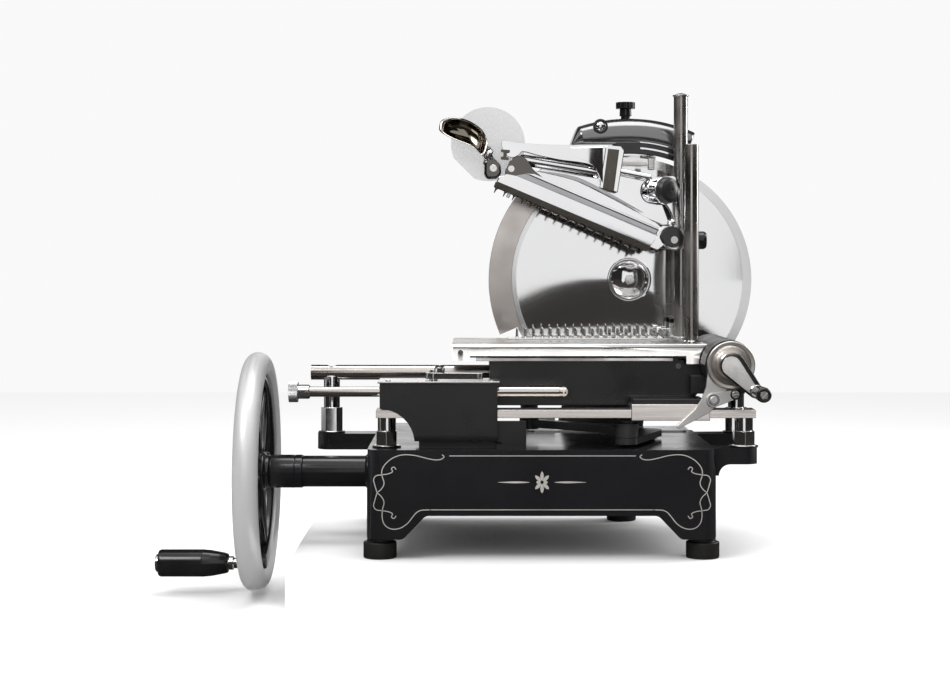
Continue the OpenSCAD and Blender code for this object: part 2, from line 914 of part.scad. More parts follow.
// The jaw is drawn level with its pivot at the local origin, then tilted.
module on_jaw() {
    translate([press_x, 0, press_z]) rotate([0, jaw_tilt, 0]) children();
}

module press_jaw() {
    color("silver") {
        on_jaw() difference() {
            union() {
                yprism(press_y0, press_y1) {
                    polygon([[-194, jaw_low], [-20, jaw_low], [-12, -6], [-17, 11], [-160, 11],
                        [-192, -4]]);
                    circle(10);
                    translate([-18, -8]) square([16, 16]);
                }
            }
            ycyl(0, 0, 90, 140, 4 + fit);
            box([-188, press_y0 + 3, jaw_low - 1], [-26, press_y1 - 3, 4]);
        }
        // tongue and pin that carry the handle
        yprism(113, 123) bar2d([-30, 385], handle_pin, 6);
        ycyl(handle_pin.x, handle_pin.y, 104, 132, 3);
    }
}

module jaw_teeth() {
    pitch = 10.2;
    color("dimgray") on_jaw() for (y = [press_y0, press_y1 - 3]) yprism(y, y + 3) {
        translate([-194, jaw_low - 4.5]) square([174, 4.5]);
        for (i = [0:jaw_count - 1]) translate([-192 + i * pitch, jaw_low - 4.5 + eps])
            polygon([[0, 0], [5, 0], [1, -5.5], [0, -5.5]]);
    }
}

// Axis of the clamp knob, with its root at the local origin and +Z outwards
module on_knob() {
    translate(knob_root) rotate([0, 0, knob_turn]) rotate([90, 0, 0]) children();
}

// Upper arm of the press, with its rod, its square block and its curved link
module press_arm() {
    color("silver") {
        yprism(105, 131) polygon([[-36.8, 414.7], [65.5, 411.6], [70, 407], [70, 396],
            [55, 393], [38, 394], [-15.9, 403], [-19, 396], [-31.6, 396], [-37.9, 406]]);
        yprism(press_y0, press_y1) polygon([[74.4, 408.4], [87.4, 406.3], [81.9, 363.3],
            [66.9, 366.7]]);
        translate([-18, 118, 399]) rotate([0, 90 + 9.2, 0]) cylinder(h = 136, r = 5.5);
        on_jaw() yprism(124, 127) polygon([[-158, 11], [-17, 11], [-8, 13], [-28, 34],
            [-45, 48], [-152, 22]]);
        on_knob() translate([0, 0, -3]) cylinder(h = 12.4, r = 9);
        yprism(126.9, 133) polygon([[112, 374], [124, 374], [132, 372], [140, 358],
            [148, 342], [150, 324], [144, 324], [140, 340], [130, 354], [112, 358]]);
    }
}

module clamp_knob() {
    color("black") on_knob() rotate_extrude() polygon([[0, 9.5], [14, 9.5], [14.5, 11],
        [14.5, 26], [13, 29], [7, 31], [0, 31.5]]);
}

module press_handle() {
    color("silver") {
        difference() {
            hull() {
                translate([-93, 118, 433]) sphere(r = 9, $fn = 24);
                translate([-72, 118, 430]) sphere(r = 16.3, $fn = 24);
                translate([-56, 118, 408]) sphere(r = 7, $fn = 24);
            }
            translate([-70, 92, 437]) sphere(r = 24, $fn = 32);
        }
        difference() {
            yprism(106, press_y1 + 0.5) {
                translate(handle_pin) circle(9.5);
                polygon([[-60, 402], [-51, 403], [-43, 394.5], [-50, 377], [-58, 377]]);
            }
            ycyl(handle_pin.x, handle_pin.y, 100, 140, 3 + fit);
            box([-80, 112.5, 376], [-30, 123.5, 397]);
        }
    }
}

module hand_shield() {
    color([0.9, 0.9, 0.92, 0.5]) yprism(press_y1 + 0.5, press_y1 + 2.5)
        translate([-51.3, 413.3]) difference() {
            circle(shield_r, $fn = 96);
            rotate(-135) translate([shield_r - 3, -40]) square([20, 80]);
        }
}

base_casting();
base_cover();
rubber_feet();
head_casting();
head_cover();
shaft_bushes();
bearing_blocks();
blade_bearings();
drive_chain();
front_rail();
rear_rail();
front_posts();
rear_posts();
receiving_tray();
blade_guard();
sharpener_cover();
sharpener_bracket();
thickness_housing();
scale_plate();
wheel_rim();
wheel_spokes();
wheel_collar();
drive_shaft();
drive_pinions();
handle_spindle();
handle_grip();
blade();
blade_cap();
blade_shaft();
lay_shaft();
crank_shaft();
crank_gear();
connecting_rod();
carriage_body();
carriage_bushes();
guide_shoe();
feed_drum();
feed_screw();
feed_disc();
feed_crank();
feed_knob();
pawl_lever();
pawl_link();
meat_table();
spike_plate();
table_columns();
feed_nut();
press_slider();
press_lock_knob();
press_jaw();
jaw_teeth();
press_arm();
clamp_knob();
press_handle();
hand_shield();
stop_rod();
lock_lever();
sharpener_knob();
sharpener_button();
grinding_stone();
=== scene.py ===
"""Looks of the hand-cranked flywheel slicer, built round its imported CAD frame."""
import json
import math

import bmesh
import bpy
from mathutils import Matrix, Vector


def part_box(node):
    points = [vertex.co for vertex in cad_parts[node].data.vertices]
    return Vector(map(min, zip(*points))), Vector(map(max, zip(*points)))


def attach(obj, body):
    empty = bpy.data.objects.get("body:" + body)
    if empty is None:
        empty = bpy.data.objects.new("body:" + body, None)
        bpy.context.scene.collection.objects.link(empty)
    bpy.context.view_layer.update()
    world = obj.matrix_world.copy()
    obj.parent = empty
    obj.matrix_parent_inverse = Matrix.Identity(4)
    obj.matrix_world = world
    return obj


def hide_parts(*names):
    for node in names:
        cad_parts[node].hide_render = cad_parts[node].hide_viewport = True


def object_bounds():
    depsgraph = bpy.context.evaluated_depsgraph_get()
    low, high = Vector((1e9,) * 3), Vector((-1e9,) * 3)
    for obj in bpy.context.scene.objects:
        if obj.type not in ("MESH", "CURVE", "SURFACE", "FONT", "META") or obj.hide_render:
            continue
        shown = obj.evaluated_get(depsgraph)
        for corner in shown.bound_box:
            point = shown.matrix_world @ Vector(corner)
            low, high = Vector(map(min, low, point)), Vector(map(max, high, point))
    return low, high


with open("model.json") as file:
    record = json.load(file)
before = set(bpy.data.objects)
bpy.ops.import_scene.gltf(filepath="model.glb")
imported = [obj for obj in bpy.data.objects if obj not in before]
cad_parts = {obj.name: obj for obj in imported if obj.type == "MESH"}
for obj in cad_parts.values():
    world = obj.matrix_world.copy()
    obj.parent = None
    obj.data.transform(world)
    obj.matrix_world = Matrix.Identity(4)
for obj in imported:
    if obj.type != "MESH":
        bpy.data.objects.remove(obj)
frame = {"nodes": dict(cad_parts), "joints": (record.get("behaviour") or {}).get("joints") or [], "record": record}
cad_low, cad_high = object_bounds()

MM = 0.001
FINE = 96
BODY_OF = {node: body for body, nodes in frame["record"]["behaviour"]["bodies"].items()
           for node in nodes}
JOINTS = {j["name"]: j for j in frame["joints"]}


def low(node):
    """Lowest corner of a CAD node in millimetres."""
    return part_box(node)[0] / MM


def high(node):
    """Highest corner of a CAD node in millimetres."""
    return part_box(node)[1] / MM


def middle(node):
    """Centre of a CAD node's box in millimetres."""
    return (low(node) + high(node)) / 2


def pivot(joint):
    """Place of a joint in millimetres."""
    return Vector(JOINTS[joint]["pos_m"]) / MM


# ---- materials ---------------------------------------------------------------


class Look:
    """A node material under construction, with short ways to add its usual parts."""

    def __init__(self, name, colour, metal, rough):
        self.material = bpy.data.materials.new(name)
        self.material.use_nodes = True
        self.tree = self.material.node_tree
        self.bsdf = self.tree.nodes["Principled BSDF"]
        self.set("Base Color", (*colour, 1))
        self.set("Metallic", metal)
        self.set("Roughness", rough)
        self.height = None

    def set(self, socket, value):
        self.bsdf.inputs[socket].default_value = value

    def add(self, kind, **settings):
        node = self.tree.nodes.new(kind)
        for key, value in settings.items():
            setattr(node, key, value)
        return node

    def link(self, a, b):
        self.tree.links.new(a, b)

    def math(self, operation, a, b=0.0):
        node = self.add("ShaderNodeMath", operation=operation)
        for socket, value in zip(node.inputs, (a, b)):
            if isinstance(value, (int, float)):
                socket.default_value = value
            else:
                self.link(value, socket)
        return node.outputs[0]

    def place(self, stretch=(1, 1, 1), centre=(0, 0, 0)):
        """Position on the piece, in metres, moved to a centre and stretched."""
        coords = self.add("ShaderNodeTexCoord")
        mapping = self.add("ShaderNodeMapping", vector_type="TEXTURE")
        mapping.inputs["Location"].default_value = centre
        mapping.inputs["Scale"].default_value = [1 / s for s in stretch]
        self.link(coords.outputs["Object"], mapping.inputs["Vector"])
        return mapping.outputs["Vector"]

    def noise(self, scale, detail=3.0, stretch=(1, 1, 1), where=None):
        node = self.add("ShaderNodeTexNoise")
        node.inputs["Scale"].default_value = scale
        node.inputs["Detail"].default_value = detail
        self.link(where or self.place(stretch), node.inputs["Vector"])
        return node.outputs["Fac"]

    def between(self, value, low_out, high_out, low_in=0.3, high_in=0.7):
        node = self.add("ShaderNodeMapRange")
        for socket, number in zip(node.inputs[1:5], (low_in, high_in, low_out, high_out)):
            socket.default_value = number
        self.link(value, node.inputs["Value"])
        return node.outputs["Result"]

    def vary_rough(self, value, low_out, high_out):
        """Roughness that follows a value between two limits."""
        self.link(self.between(value, low_out, high_out), self.bsdf.inputs["Roughness"])

    def tint(self, value, dark, light):
        """Colour that follows a value from a dark tone to a light one."""
        mix = self.add("ShaderNodeMix", data_type="RGBA")
        self.link(self.between(value, 0, 1), mix.inputs["Factor"])
        mix.inputs["A"].default_value = (*dark, 1)
        mix.inputs["B"].default_value = (*light, 1)
        self.link(mix.outputs["Result"], self.bsdf.inputs["Base Color"])

    def camber(self, degrees):
        """Lets upright faces reflect a little upwards, as slightly rounded ones do."""
        split = self.add("ShaderNodeSeparateXYZ")
        self.link(self.place(), split.inputs[0])
        slope = -math.tan(math.radians(degrees))
        self.bump(self.math("MULTIPLY", split.outputs["Z"], slope), 1.0)

    def bump(self, value, depth):
        node = self.add("ShaderNodeBump")
        node.inputs["Distance"].default_value = depth
        node.inputs["Strength"].default_value = 1.0
        self.link(value, node.inputs["Height"])
        if self.height is not None:
            self.link(self.height, node.inputs["Normal"])
        self.height = node.outputs["Normal"]
        self.link(self.height, self.bsdf.inputs["Normal"])


def enamel(name, colour, rough, peel, index=1.5):
    """Glossy paint on a casting, with a trace of orange peel and of dust in its gloss."""
    look = Look(name, colour, 0.0, rough)
    look.set("IOR", index)
    look.set("Specular IOR Level", 0.6)
    look.vary_rough(look.noise(18, 5), rough * 0.8, rough * 1.5)
    look.tint(look.noise(6, 4), colour, [c * 1.6 + 0.001 for c in colour])
    look.bump(look.noise(160, 2), peel)
    return look.material


def chrome(name, colour, rough, camber=0.0):
    """Plated steel: mirror bright, with faint wipe marks that vary its gloss."""
    look = Look(name, colour, 1.0, rough)
    look.vary_rough(look.noise(24, 6), rough * 0.6, rough * 1.7)
    look.tint(look.noise(9, 3), [c * 0.93 for c in colour], colour)
    look.bump(look.noise(70, 3), 0.00001)
    look.camber(camber)
    return look.material


def brushed(name, colour, rough, grain, top=1.0, camber=0.0):
    """Metal with a straight grain. grain holds the stretch of the pattern on each axis and
    top the share of the roughness that faces turned upwards keep."""
    look = Look(name, colour, 1.0, rough)
    lines = look.noise(900, 4, grain)
    facing = look.add("ShaderNodeSeparateXYZ")
    look.link(look.add("ShaderNodeNewGeometry").outputs["Normal"], facing.inputs[0])
    polish = look.between(facing.outputs["Z"], 1.0, top, 0.5, 0.9)
    worn = look.between(lines, rough * 0.75, rough * 1.35)
    look.link(look.math("MULTIPLY", worn, polish), look.bsdf.inputs["Roughness"])
    look.tint(look.noise(360, 3, grain), [c * 0.9 for c in colour], colour)
    look.bump(lines, 0.000004)
    look.camber(camber)
    return look.material


def turned(name, colour, rough, centre, axis, rings=2600, streaks=0.0, crown=0.0, edge=1.0,
           metal=1.0):
    """Metal turned or ground on a lathe: rings about an axis through a centre. crown is
    the slope in degrees of a face that falls away evenly from its centre; beyond the radius
    edge, in metres, the face is ground duller."""
    look = Look(name, colour, metal, rough)
    where = look.place(centre=[c * MM for c in centre])
    split = look.add("ShaderNodeSeparateXYZ")
    look.link(where, split.inputs[0])
    u, v = [split.outputs[a] for a in "XYZ" if a != axis]
    radius = look.math("SQRT", look.math("ADD", look.math("MULTIPLY", u, u),
                                         look.math("MULTIPLY", v, v)))
    ring = look.add("ShaderNodeTexNoise", noise_dimensions="1D")
    ring.inputs["Scale"].default_value = rings
    ring.inputs["Detail"].default_value = 4
    look.link(radius, ring.inputs["W"])
    polish = look.between(ring.outputs["Fac"], rough * 0.8, rough * 1.25)
    dull = look.between(radius, 0.0, 0.1, edge, edge + 0.0005)
    look.link(look.math("ADD", polish, dull), look.bsdf.inputs["Roughness"])
    look.bump(ring.outputs["Fac"], 0.000002)
    if crown:
        look.bump(look.math("MULTIPLY", radius, -math.tan(math.radians(crown))), 1.0)
        bevel = look.math("MAXIMUM", look.math("SUBTRACT", radius, edge), 0.0)
        look.bump(look.math("MULTIPLY", bevel, -math.tan(math.radians(13))), 1.0)
    radial = look.add("ShaderNodeVectorMath", operation="MULTIPLY")
    look.link(where, radial.inputs[0])
    radial.inputs[1].default_value = [0.0 if a == axis else 1.0 for a in "XYZ"]
    world = look.add("ShaderNodeVectorTransform", vector_type="VECTOR",
                     convert_from="OBJECT", convert_to="WORLD")
    look.link(radial.outputs[0], world.inputs[0])
    unit = look.add("ShaderNodeVectorMath", operation="NORMALIZE")
    look.link(world.outputs[0], unit.inputs[0])
    look.link(unit.outputs[0], look.bsdf.inputs["Tangent"])
    look.set("Anisotropic", streaks)
    return look.material


def moulded(name, colour, rough, grain=0.00001):
    """Hard black moulding or dull surface with a fine skin texture."""
    look = Look(name, colour, 0.0, rough)
    look.vary_rough(look.noise(40, 5), rough * 0.8, rough * 1.3)
    look.tint(look.noise(25, 3), colour, [c * 1.5 + 0.002 for c in colour])
    look.bump(look.noise(420, 2), grain)
    return look.material


def clear_plastic(name, colour, rough):
    """Thin frosted plastic that shows what is behind it."""
    look = Look(name, colour, 0.0, rough)
    look.set("Alpha", 0.34)
    look.vary_rough(look.noise(15, 4), 0.18, 0.34)
    look.bump(look.noise(90, 2), 0.00001)
    return look.material


BLADE = middle("blade")
WHEEL = middle("wheel_rim")
FEED = middle("feed_disc")
# The record's material slot for each look that isn't named after its own
SLOT_OF_LOOK = {
    **dict.fromkeys(("soft_chrome", "dark_chrome", "rod_steel", "pale_nickel", "lug_steel",
                     "rim_nickel", "bowl_painted_shade"), "chrome"),
    **dict.fromkeys(("disc_nickel", "plate_steel", "tip_nylon"), "nickel"),
    **dict.fromkeys(("tooth_steel", "block_steel"), "dark_steel"),
    "hood_black": "black_enamel", "near_black_and_painted_shade": "black_oxide", "matt_black": "bakelite",
    "pinstripe": "tray_steel",
}

black = enamel("black_enamel", (0.006, 0.006, 0.007), 0.16, 0.00002)
hood_black = enamel("hood_black", (0.014, 0.014, 0.015), 0.14, 0.00002, 2.4)
satin_black = enamel("carriage_black", (0.008, 0.008, 0.0085), 0.26, 0.00003)
wheel_black = enamel("wheel_black", (0.006, 0.006, 0.007), 0.14, 0.00003)
bright = chrome("chrome", (0.88, 0.88, 0.89), 0.07)
soft_chrome = chrome("soft_chrome", (0.82, 0.81, 0.80), 0.16)
warm_nickel = chrome("nickel", (0.82, 0.78, 0.74), 0.22)
dark_chrome = chrome("dark_chrome", (0.42, 0.42, 0.43), 0.10)
rail_steel = brushed("rail_steel", (0.76, 0.71, 0.675), 0.2, (0.02, 1, 1), camber=5.0)
rod_steel = chrome("rod_steel", (0.70, 0.65, 0.61), 0.13)
column_steel = chrome("column_steel", (0.52, 0.495, 0.475), 0.24)
post_chrome = chrome("post_chrome", (0.86, 0.86, 0.87), 0.08, camber=5.0)
plate_steel = brushed("plate_steel", (0.74, 0.725, 0.71), 0.22, (0.02, 1, 1), top=0.45, camber=3.0)
apron_steel = chrome("apron_steel", (0.62, 0.605, 0.59), 0.26, camber=3.0)
pale_nickel = chrome("pale_nickel", (0.84, 0.82, 0.8), 0.3, camber=4.0)
lug_steel = chrome("lug_steel", (0.13, 0.122, 0.115), 0.14, camber=8.0)
guard_steel = chrome("guard_steel", (0.62, 0.575, 0.545), 0.17)
tray_steel = brushed("tray_steel", (0.72, 0.72, 0.73), 0.3, (0.03, 1, 1))
dark_steel = brushed("dark_steel", (0.22, 0.22, 0.23), 0.32, (0.05, 1, 1))
blade_steel = turned("blade_steel", (0.82, 0.82, 0.825), 0.05, BLADE, "Y", 2600, 0.7, 1.2, 0.1233)
rim_alloy = turned("rim_alloy", (0.60, 0.60, 0.605), 0.42, WHEEL, "X", 1800, metal=0.4)
disc_nickel = turned("disc_nickel", (0.9, 0.85, 0.8), 0.34, FEED, "Y", 2200, 0.3)
bakelite = moulded("bakelite", (0.006, 0.006, 0.006), 0.15)
matt_black = moulded("matt_black", (0.01, 0.01, 0.01), 0.34)
oxide = moulded("black_oxide", (0.02, 0.02, 0.021), 0.34)
rubber = moulded("foot_rubber", (0.008, 0.0075, 0.007), 0.42, 0.00004)
bronze = chrome("bronze", (0.66, 0.45, 0.22), 0.28)
abrasive = moulded("abrasive", (0.5, 0.48, 0.45), 0.9, 0.0003)
stripe = moulded("pinstripe", (0.27, 0.257, 0.235), 0.4)
tip_nylon = moulded("tip_nylon", (0.5, 0.44, 0.38), 0.35)
# Near-black matt look: the real black of set screws, seats, rings and scale ticks, and painted shade in the gap
# under the table's apron
near_black_and_shade = moulded("near_black_and_painted_shade", (0.004, 0.004, 0.004), 0.6)
shield_clear = clear_plastic("clear_shield", (0.46, 0.46, 0.47), 0.25)
rim_nickel = chrome("rim_nickel", (0.52, 0.49, 0.46), 0.1)
# Much darker nickel for the spoon's hollow: painted shade and reflection inside the bowl
bowl_painted_shade = chrome("bowl_painted_shade", (0.24, 0.215, 0.175), 0.09)
tooth_steel = brushed("tooth_steel", (0.09, 0.08, 0.07), 0.3, (0.05, 1, 1))
block_steel = brushed("block_steel", (0.17, 0.155, 0.135), 0.42, (1, 1, 0.05))


# ---- ways to make a piece ------------------------------------------------------
# Outlines and profiles are in millimetres. An outline lies across an axis: (Y, Z) for X,
# (X, Z) for Y and (X, Y) for Z.


def on_axis(axis, u, v, along):
    """The point with plane coordinates u, v and a distance along an axis."""
    return {"X": (along, u, v), "Y": (u, along, v), "Z": (u, v, along)}[axis]


def arc(centre, r, start, end, steps=12):
    """Points along a circular arc, with its angles in degrees."""
    angles = [math.radians(start + (end - start) * i / steps) for i in range(steps + 1)]
    return [(centre[0] + r * math.cos(t), centre[1] + r * math.sin(t)) for t in angles]


def flowing(points, closed=True, steps=5):
    """A smooth curve through a few points (Catmull-Rom)."""
    points = [Vector(p) for p in points]
    count = len(points)
    out = []
    for i in range(count if closed else count - 1):
        around = [i - 1, i, i + 1, i + 2]
        if closed:
            a, b, c, d = (points[k % count] for k in around)
        else:
            a, b, c, d = (points[min(max(k, 0), count - 1)] for k in around)
        for step in range(steps):
            t = step / steps
            out.append(0.5 * (2 * b + (c - a) * t + (2 * a - 5 * b + 4 * c - d) * t * t
                              + (3 * b - a - 3 * c + d) * t ** 3))
    if not closed:
        out.append(points[-1])
    return out


def eased(points, radius, closed=True, steps=4):
    """An outline or profile with its corners rounded to about a radius."""
    points = [Vector(p) for p in points]
    count = len(points)
    out = []
    for i, p in enumerate(points):
        if not closed and i in (0, count - 1):
            out.append(p)
            continue
        before, after = points[i - 1] - p, points[(i + 1) % count] - p
        reach = min(radius, before.length * 0.45, after.length * 0.45)
        a, b = p + before.normalized() * reach, p + after.normalized() * reach
        for step in range(steps + 1):
            t = step / steps
            out.append(a * (1 - t) ** 2 + p * 2 * t * (1 - t) + b * t * t)
    return out


def loop_of(bm, points):
    return [bm.verts.new(p) for p in points]


def bridge(bm, one, two, closed=True):
    """Quads between two loops of the same length. A loop of one vertex makes a fan."""
    count = max(len(one), len(two))
    for i in range(count if closed else count - 1):
        j = (i + 1) % count
        corners = [one[i % len(one)], one[j % len(one)], two[j % len(two)], two[i % len(two)]]
        bm.faces.new(list(dict.fromkeys(corners)))


def add_lathe(bm, profile, axis, centre, segments=FINE):
    """Revolves (radius, distance along the axis) points about an axis through a centre."""
    rings = []
    for r, along in profile:
        if r < 1e-6:
            rings.append(loop_of(bm, [on_axis(axis, centre[0], centre[1], along)]))
            continue
        angles = [2 * math.pi * i / segments for i in range(segments)]
        rings.append(loop_of(bm, [on_axis(axis, centre[0] + r * math.cos(t),
                                          centre[1] + r * math.sin(t), along) for t in angles]))
    for one, two in zip(rings, rings[1:]):
        bridge(bm, one, two)
    for ring in (rings[0], rings[-1]):
        if len(ring) > 1 and profile[0] != profile[-1]:
            bm.faces.new(ring)


def add_prism(bm, outline, axis, start, end):
    """Straight prism on an outline between two places on an axis."""
    ends = [loop_of(bm, [on_axis(axis, u, v, along) for u, v in outline])
            for along in (start, end)]
    bridge(bm, *ends)
    for ring in ends:
        bm.faces.new(ring)


def add_loft(bm, sections):
    """Closed body through a row of sections that have the same number of points."""
    rings = [loop_of(bm, points) for points in sections]
    for one, two in zip(rings, rings[1:]):
        bridge(bm, one, two)
    bm.faces.new(rings[0])
    bm.faces.new(rings[-1])


def add_box(bm, a, b):
    add_prism(bm, [(a[0], a[1]), (b[0], a[1]), (b[0], b[1]), (a[0], b[1])], "Z", a[2], b[2])


def add_tube(bm, path, radius, closed=False, sides=14, squash=(1, 1), up=(0, 1, 0)):
    """Tube along a path. radius is one number or one for each point; squash flattens it."""
    path = [Vector(p) for p in path]
    count = len(path)
    radii = radius if isinstance(radius, (list, tuple)) else [radius] * count
    rings = []
    for i, p in enumerate(path):
        ahead = path[(i + 1) % count] if closed else path[min(i + 1, count - 1)]
        behind = path[i - 1] if closed else path[max(i - 1, 0)]
        along = (ahead - behind).normalized()
        side = along.cross(Vector(up)).normalized()
        top = side.cross(along).normalized()
        rings.append(loop_of(bm, [
            p + radii[i] * (side * squash[0] * math.cos(t) + top * squash[1] * math.sin(t))
            for t in (2 * math.pi * k / sides for k in range(sides))]))
    for one, two in zip(rings, rings[1:]):
        bridge(bm, one, two)
    if closed:
        bridge(bm, rings[-1], rings[0])
    else:
        bm.faces.new(rings[0])
        bm.faces.new(rings[-1])


def soften(bm, width, segments=2):
    """Rounds every sharp edge of a bmesh to a width."""
    bmesh.ops.recalc_face_normals(bm, faces=bm.faces)
    edges = [e for e in bm.edges if len(e.link_faces) == 2
             and e.calc_face_angle(0) > math.radians(30)]
    bmesh.ops.bevel(bm, geom=edges, offset=width, segments=segments, profile=0.5,
                    affect="EDGES", clamp_overlap=True)


def as_object(bm, name, *materials):
    """An object in the scene made from a bmesh, which is used up."""
    mesh = bpy.data.meshes.new(name)
    bm.to_mesh(mesh)
    bm.free()
    for material in materials:
        mesh.materials.append(material)
    thing = bpy.data.objects.new(name, mesh)
    bpy.context.scene.collection.objects.link(thing)
    return thing


def finish(bm, name, body, material, replaces=(), sharp=35.0, even=True, slot=None):
    """Turns a bmesh in millimetres into a smooth-shaded piece that rides on a body. even
    weights its normals by area, so that flat faces between rounded edges stay flat."""
    bmesh.ops.recalc_face_normals(bm, faces=bm.faces)
    bmesh.ops.scale(bm, vec=(MM, MM, MM), verts=bm.verts)
    piece = as_object(bm, name, material)
    mesh = piece.data
    mesh.polygons.foreach_set("use_smooth", [True] * len(mesh.polygons))
    mesh.set_sharp_from_angle(angle=math.radians(sharp))
    look = material.name.split(".")[0]
    slot = slot or SLOT_OF_LOOK.get(look, look)
    if even:
        weighted = piece.modifiers.new("even", "WEIGHTED_NORMAL")
        weighted.keep_sharp = True
        weighted.weight = 100
    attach(piece, body)
    if replaces:
        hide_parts(*replaces)
    return piece


def lathe(name, profile, axis, centre, body, material, replaces=(), ease=0.0, slot=None):
    """Turned piece. ease rounds the corners of its profile."""
    bm = bmesh.new()
    if ease:
        profile = eased(profile, ease, closed=False)
    add_lathe(bm, [tuple(p) for p in profile], axis, centre)
    finish(bm, name, body, material, replaces, slot=slot)


def turned_ring(name, profile, axis, centre, body, material, slot=None):
    """Turned ring with a closed profile."""
    lathe(name, profile + profile[:1], axis, centre, body, material, slot=slot)


def plate(name, outline, axis, start, end, edge, body, material, replaces=(), slot=None):
    """Flat piece cut to an outline, with edges rounded to a width."""
    bm = bmesh.new()
    add_prism(bm, outline, axis, start, end)
    soften(bm, edge)
    finish(bm, name, body, material, replaces, slot=slot)


def stepped_rod(name, start, end, steps, sides, body, even=True):
    """Chrome rod between two points. Its steps are shares of its length with their radii."""
    bm = bmesh.new()
    add_tube(bm, [Vector(start).lerp(Vector(end), t) for t, _ in steps], [r for _, r in steps],
             sides=sides)
    finish(bm, name, body, bright, even=even)


def screw(name, place, axis, r, body, material, tall=1.2, turn=35.0, facing=-1, slot=None):
    """Slotted screw head: a disc with two half moons on it that leave the slot between them."""
    bm = bmesh.new()
    u, v = (place[i] for i, a in enumerate("XYZ") if a != axis)
    root = place["XYZ".index(axis)]
    floor_at, top_at = root + facing * tall * 0.45, root + facing * tall
    add_lathe(bm, [(0, root), (r, root), (r, floor_at), (0, floor_at)], axis, (u, v), 32)
    gap = math.degrees(math.asin(0.16))
    for side in (0, 180):
        moon = arc((u, v), r, turn + side + gap, turn + side + 180 - gap, 14)
        add_prism(bm, moon, axis, floor_at, top_at)
    soften(bm, 0.12, 1)
    finish(bm, name, body, material, slot=slot)


def slot_of(node):
    """The record's material slot of a CAD node."""
    return next(s["material_slot"] for s in frame["record"]["subparts"] if s["node"] == node)


def softened(node, width, material):
    """A CAD node again, with its sharp edges rounded to a width in millimetres."""
    bm = bmesh.new()
    bm.from_mesh(frame["nodes"][node].data)
    bmesh.ops.scale(bm, vec=(1 / MM, 1 / MM, 1 / MM), verts=bm.verts)
    bmesh.ops.remove_doubles(bm, verts=bm.verts, dist=0.002)
    bmesh.ops.dissolve_limit(bm, angle_limit=math.radians(0.6), verts=bm.verts, edges=bm.edges)
    soften(bm, width)
    finish(bm, node + "_body", BODY_OF[node], material, [node], 40, slot=slot_of(node))


def paint(node, material):
    """Gives a CAD node that stays its material."""
    part = frame["nodes"][node]
    for slot in part.material_slots:
        slot.material = material
    for face in part.data.polygons:
        face.use_smooth = True


for node, width, material in [
        ("base_casting", 1.6, black), ("head_casting", 2.0, black), ("head_cover", 1.0, black),
        ("base_cover", 0.4, dark_steel), ("rubber_feet", 1.2, rubber),
        ("thickness_housing", 0.7, satin_black), ("scale_plate", 0.4, soft_chrome),
        ("sharpener_bracket", 0.6, bright),
        ("front_rail", 0.6, rail_steel), ("rear_rail", 0.8, rod_steel),
        ("front_posts", 0.6, post_chrome), ("rear_posts", 0.6, post_chrome),
        ("receiving_tray", 0.3, tray_steel), ("blade_guard", 0.3, guard_steel),
        ("connecting_rod", 0.8, oxide), ("crank_shaft", 0.6, oxide),
        ("carriage_body", 0.6, satin_black), ("guide_shoe", 0.6, rail_steel),
        ("feed_drum", 0.5, satin_black), ("pawl_lever", 0.5, pale_nickel),
        ("pawl_link", 0.5, pale_nickel), ("meat_table", 0.5, apron_steel),
        ("table_columns", 0.5, column_steel),
        ("press_slider", 0.6, dark_chrome), ("lock_lever", 0.5, bright),
        ("hand_shield", 0.3, shield_clear)]:
    softened(node, width, material)

for node, material in [
        ("shaft_bushes", bronze), ("carriage_bushes", bronze), ("feed_nut", bronze),
        ("bearing_blocks", dark_steel), ("blade_bearings", dark_steel),
        ("drive_chain", dark_steel), ("drive_pinions", dark_steel), ("crank_gear", dark_steel),
        ("drive_shaft", soft_chrome), ("lay_shaft", soft_chrome), ("blade_shaft", soft_chrome),
        ("feed_screw", soft_chrome), ("grinding_stone", abrasive)]:
    paint(node, material)

# ---- flywheel ------------------------------------------------------------------

WHEEL_MID = WHEEL.x
HUB = (WHEEL.y, WHEEL.z)
RIM_R = high("wheel_rim").z - WHEEL.z
RIM_HALF = (high("wheel_rim").x - low("wheel_rim").x) / 2
RING_R = RIM_R - 23


def make_rim():
    """Rounded alloy rim with a narrow step where its machined faces meet the ring."""
    crown = arc((RIM_R - 12.5, 0), 12.5, -84, 84, 30)
    outline = [(RING_R, -RIM_HALF + 3.5), (RING_R + 3, -RIM_HALF + 2), (RIM_R - 15, -RIM_HALF),
               *crown, (RIM_R - 15, RIM_HALF), (RING_R + 3, RIM_HALF - 2),
               (RING_R, RIM_HALF - 3.5)]
    bm = bmesh.new()
    add_lathe(bm, [(r, WHEEL_MID + x) for r, x in outline + outline[:1]], "X", HUB, 192)
    bmesh.ops.remove_doubles(bm, verts=bm.verts, dist=0.001)
    finish(bm, "wheel_rim_turned", "flywheel", rim_alloy, ["wheel_rim"])


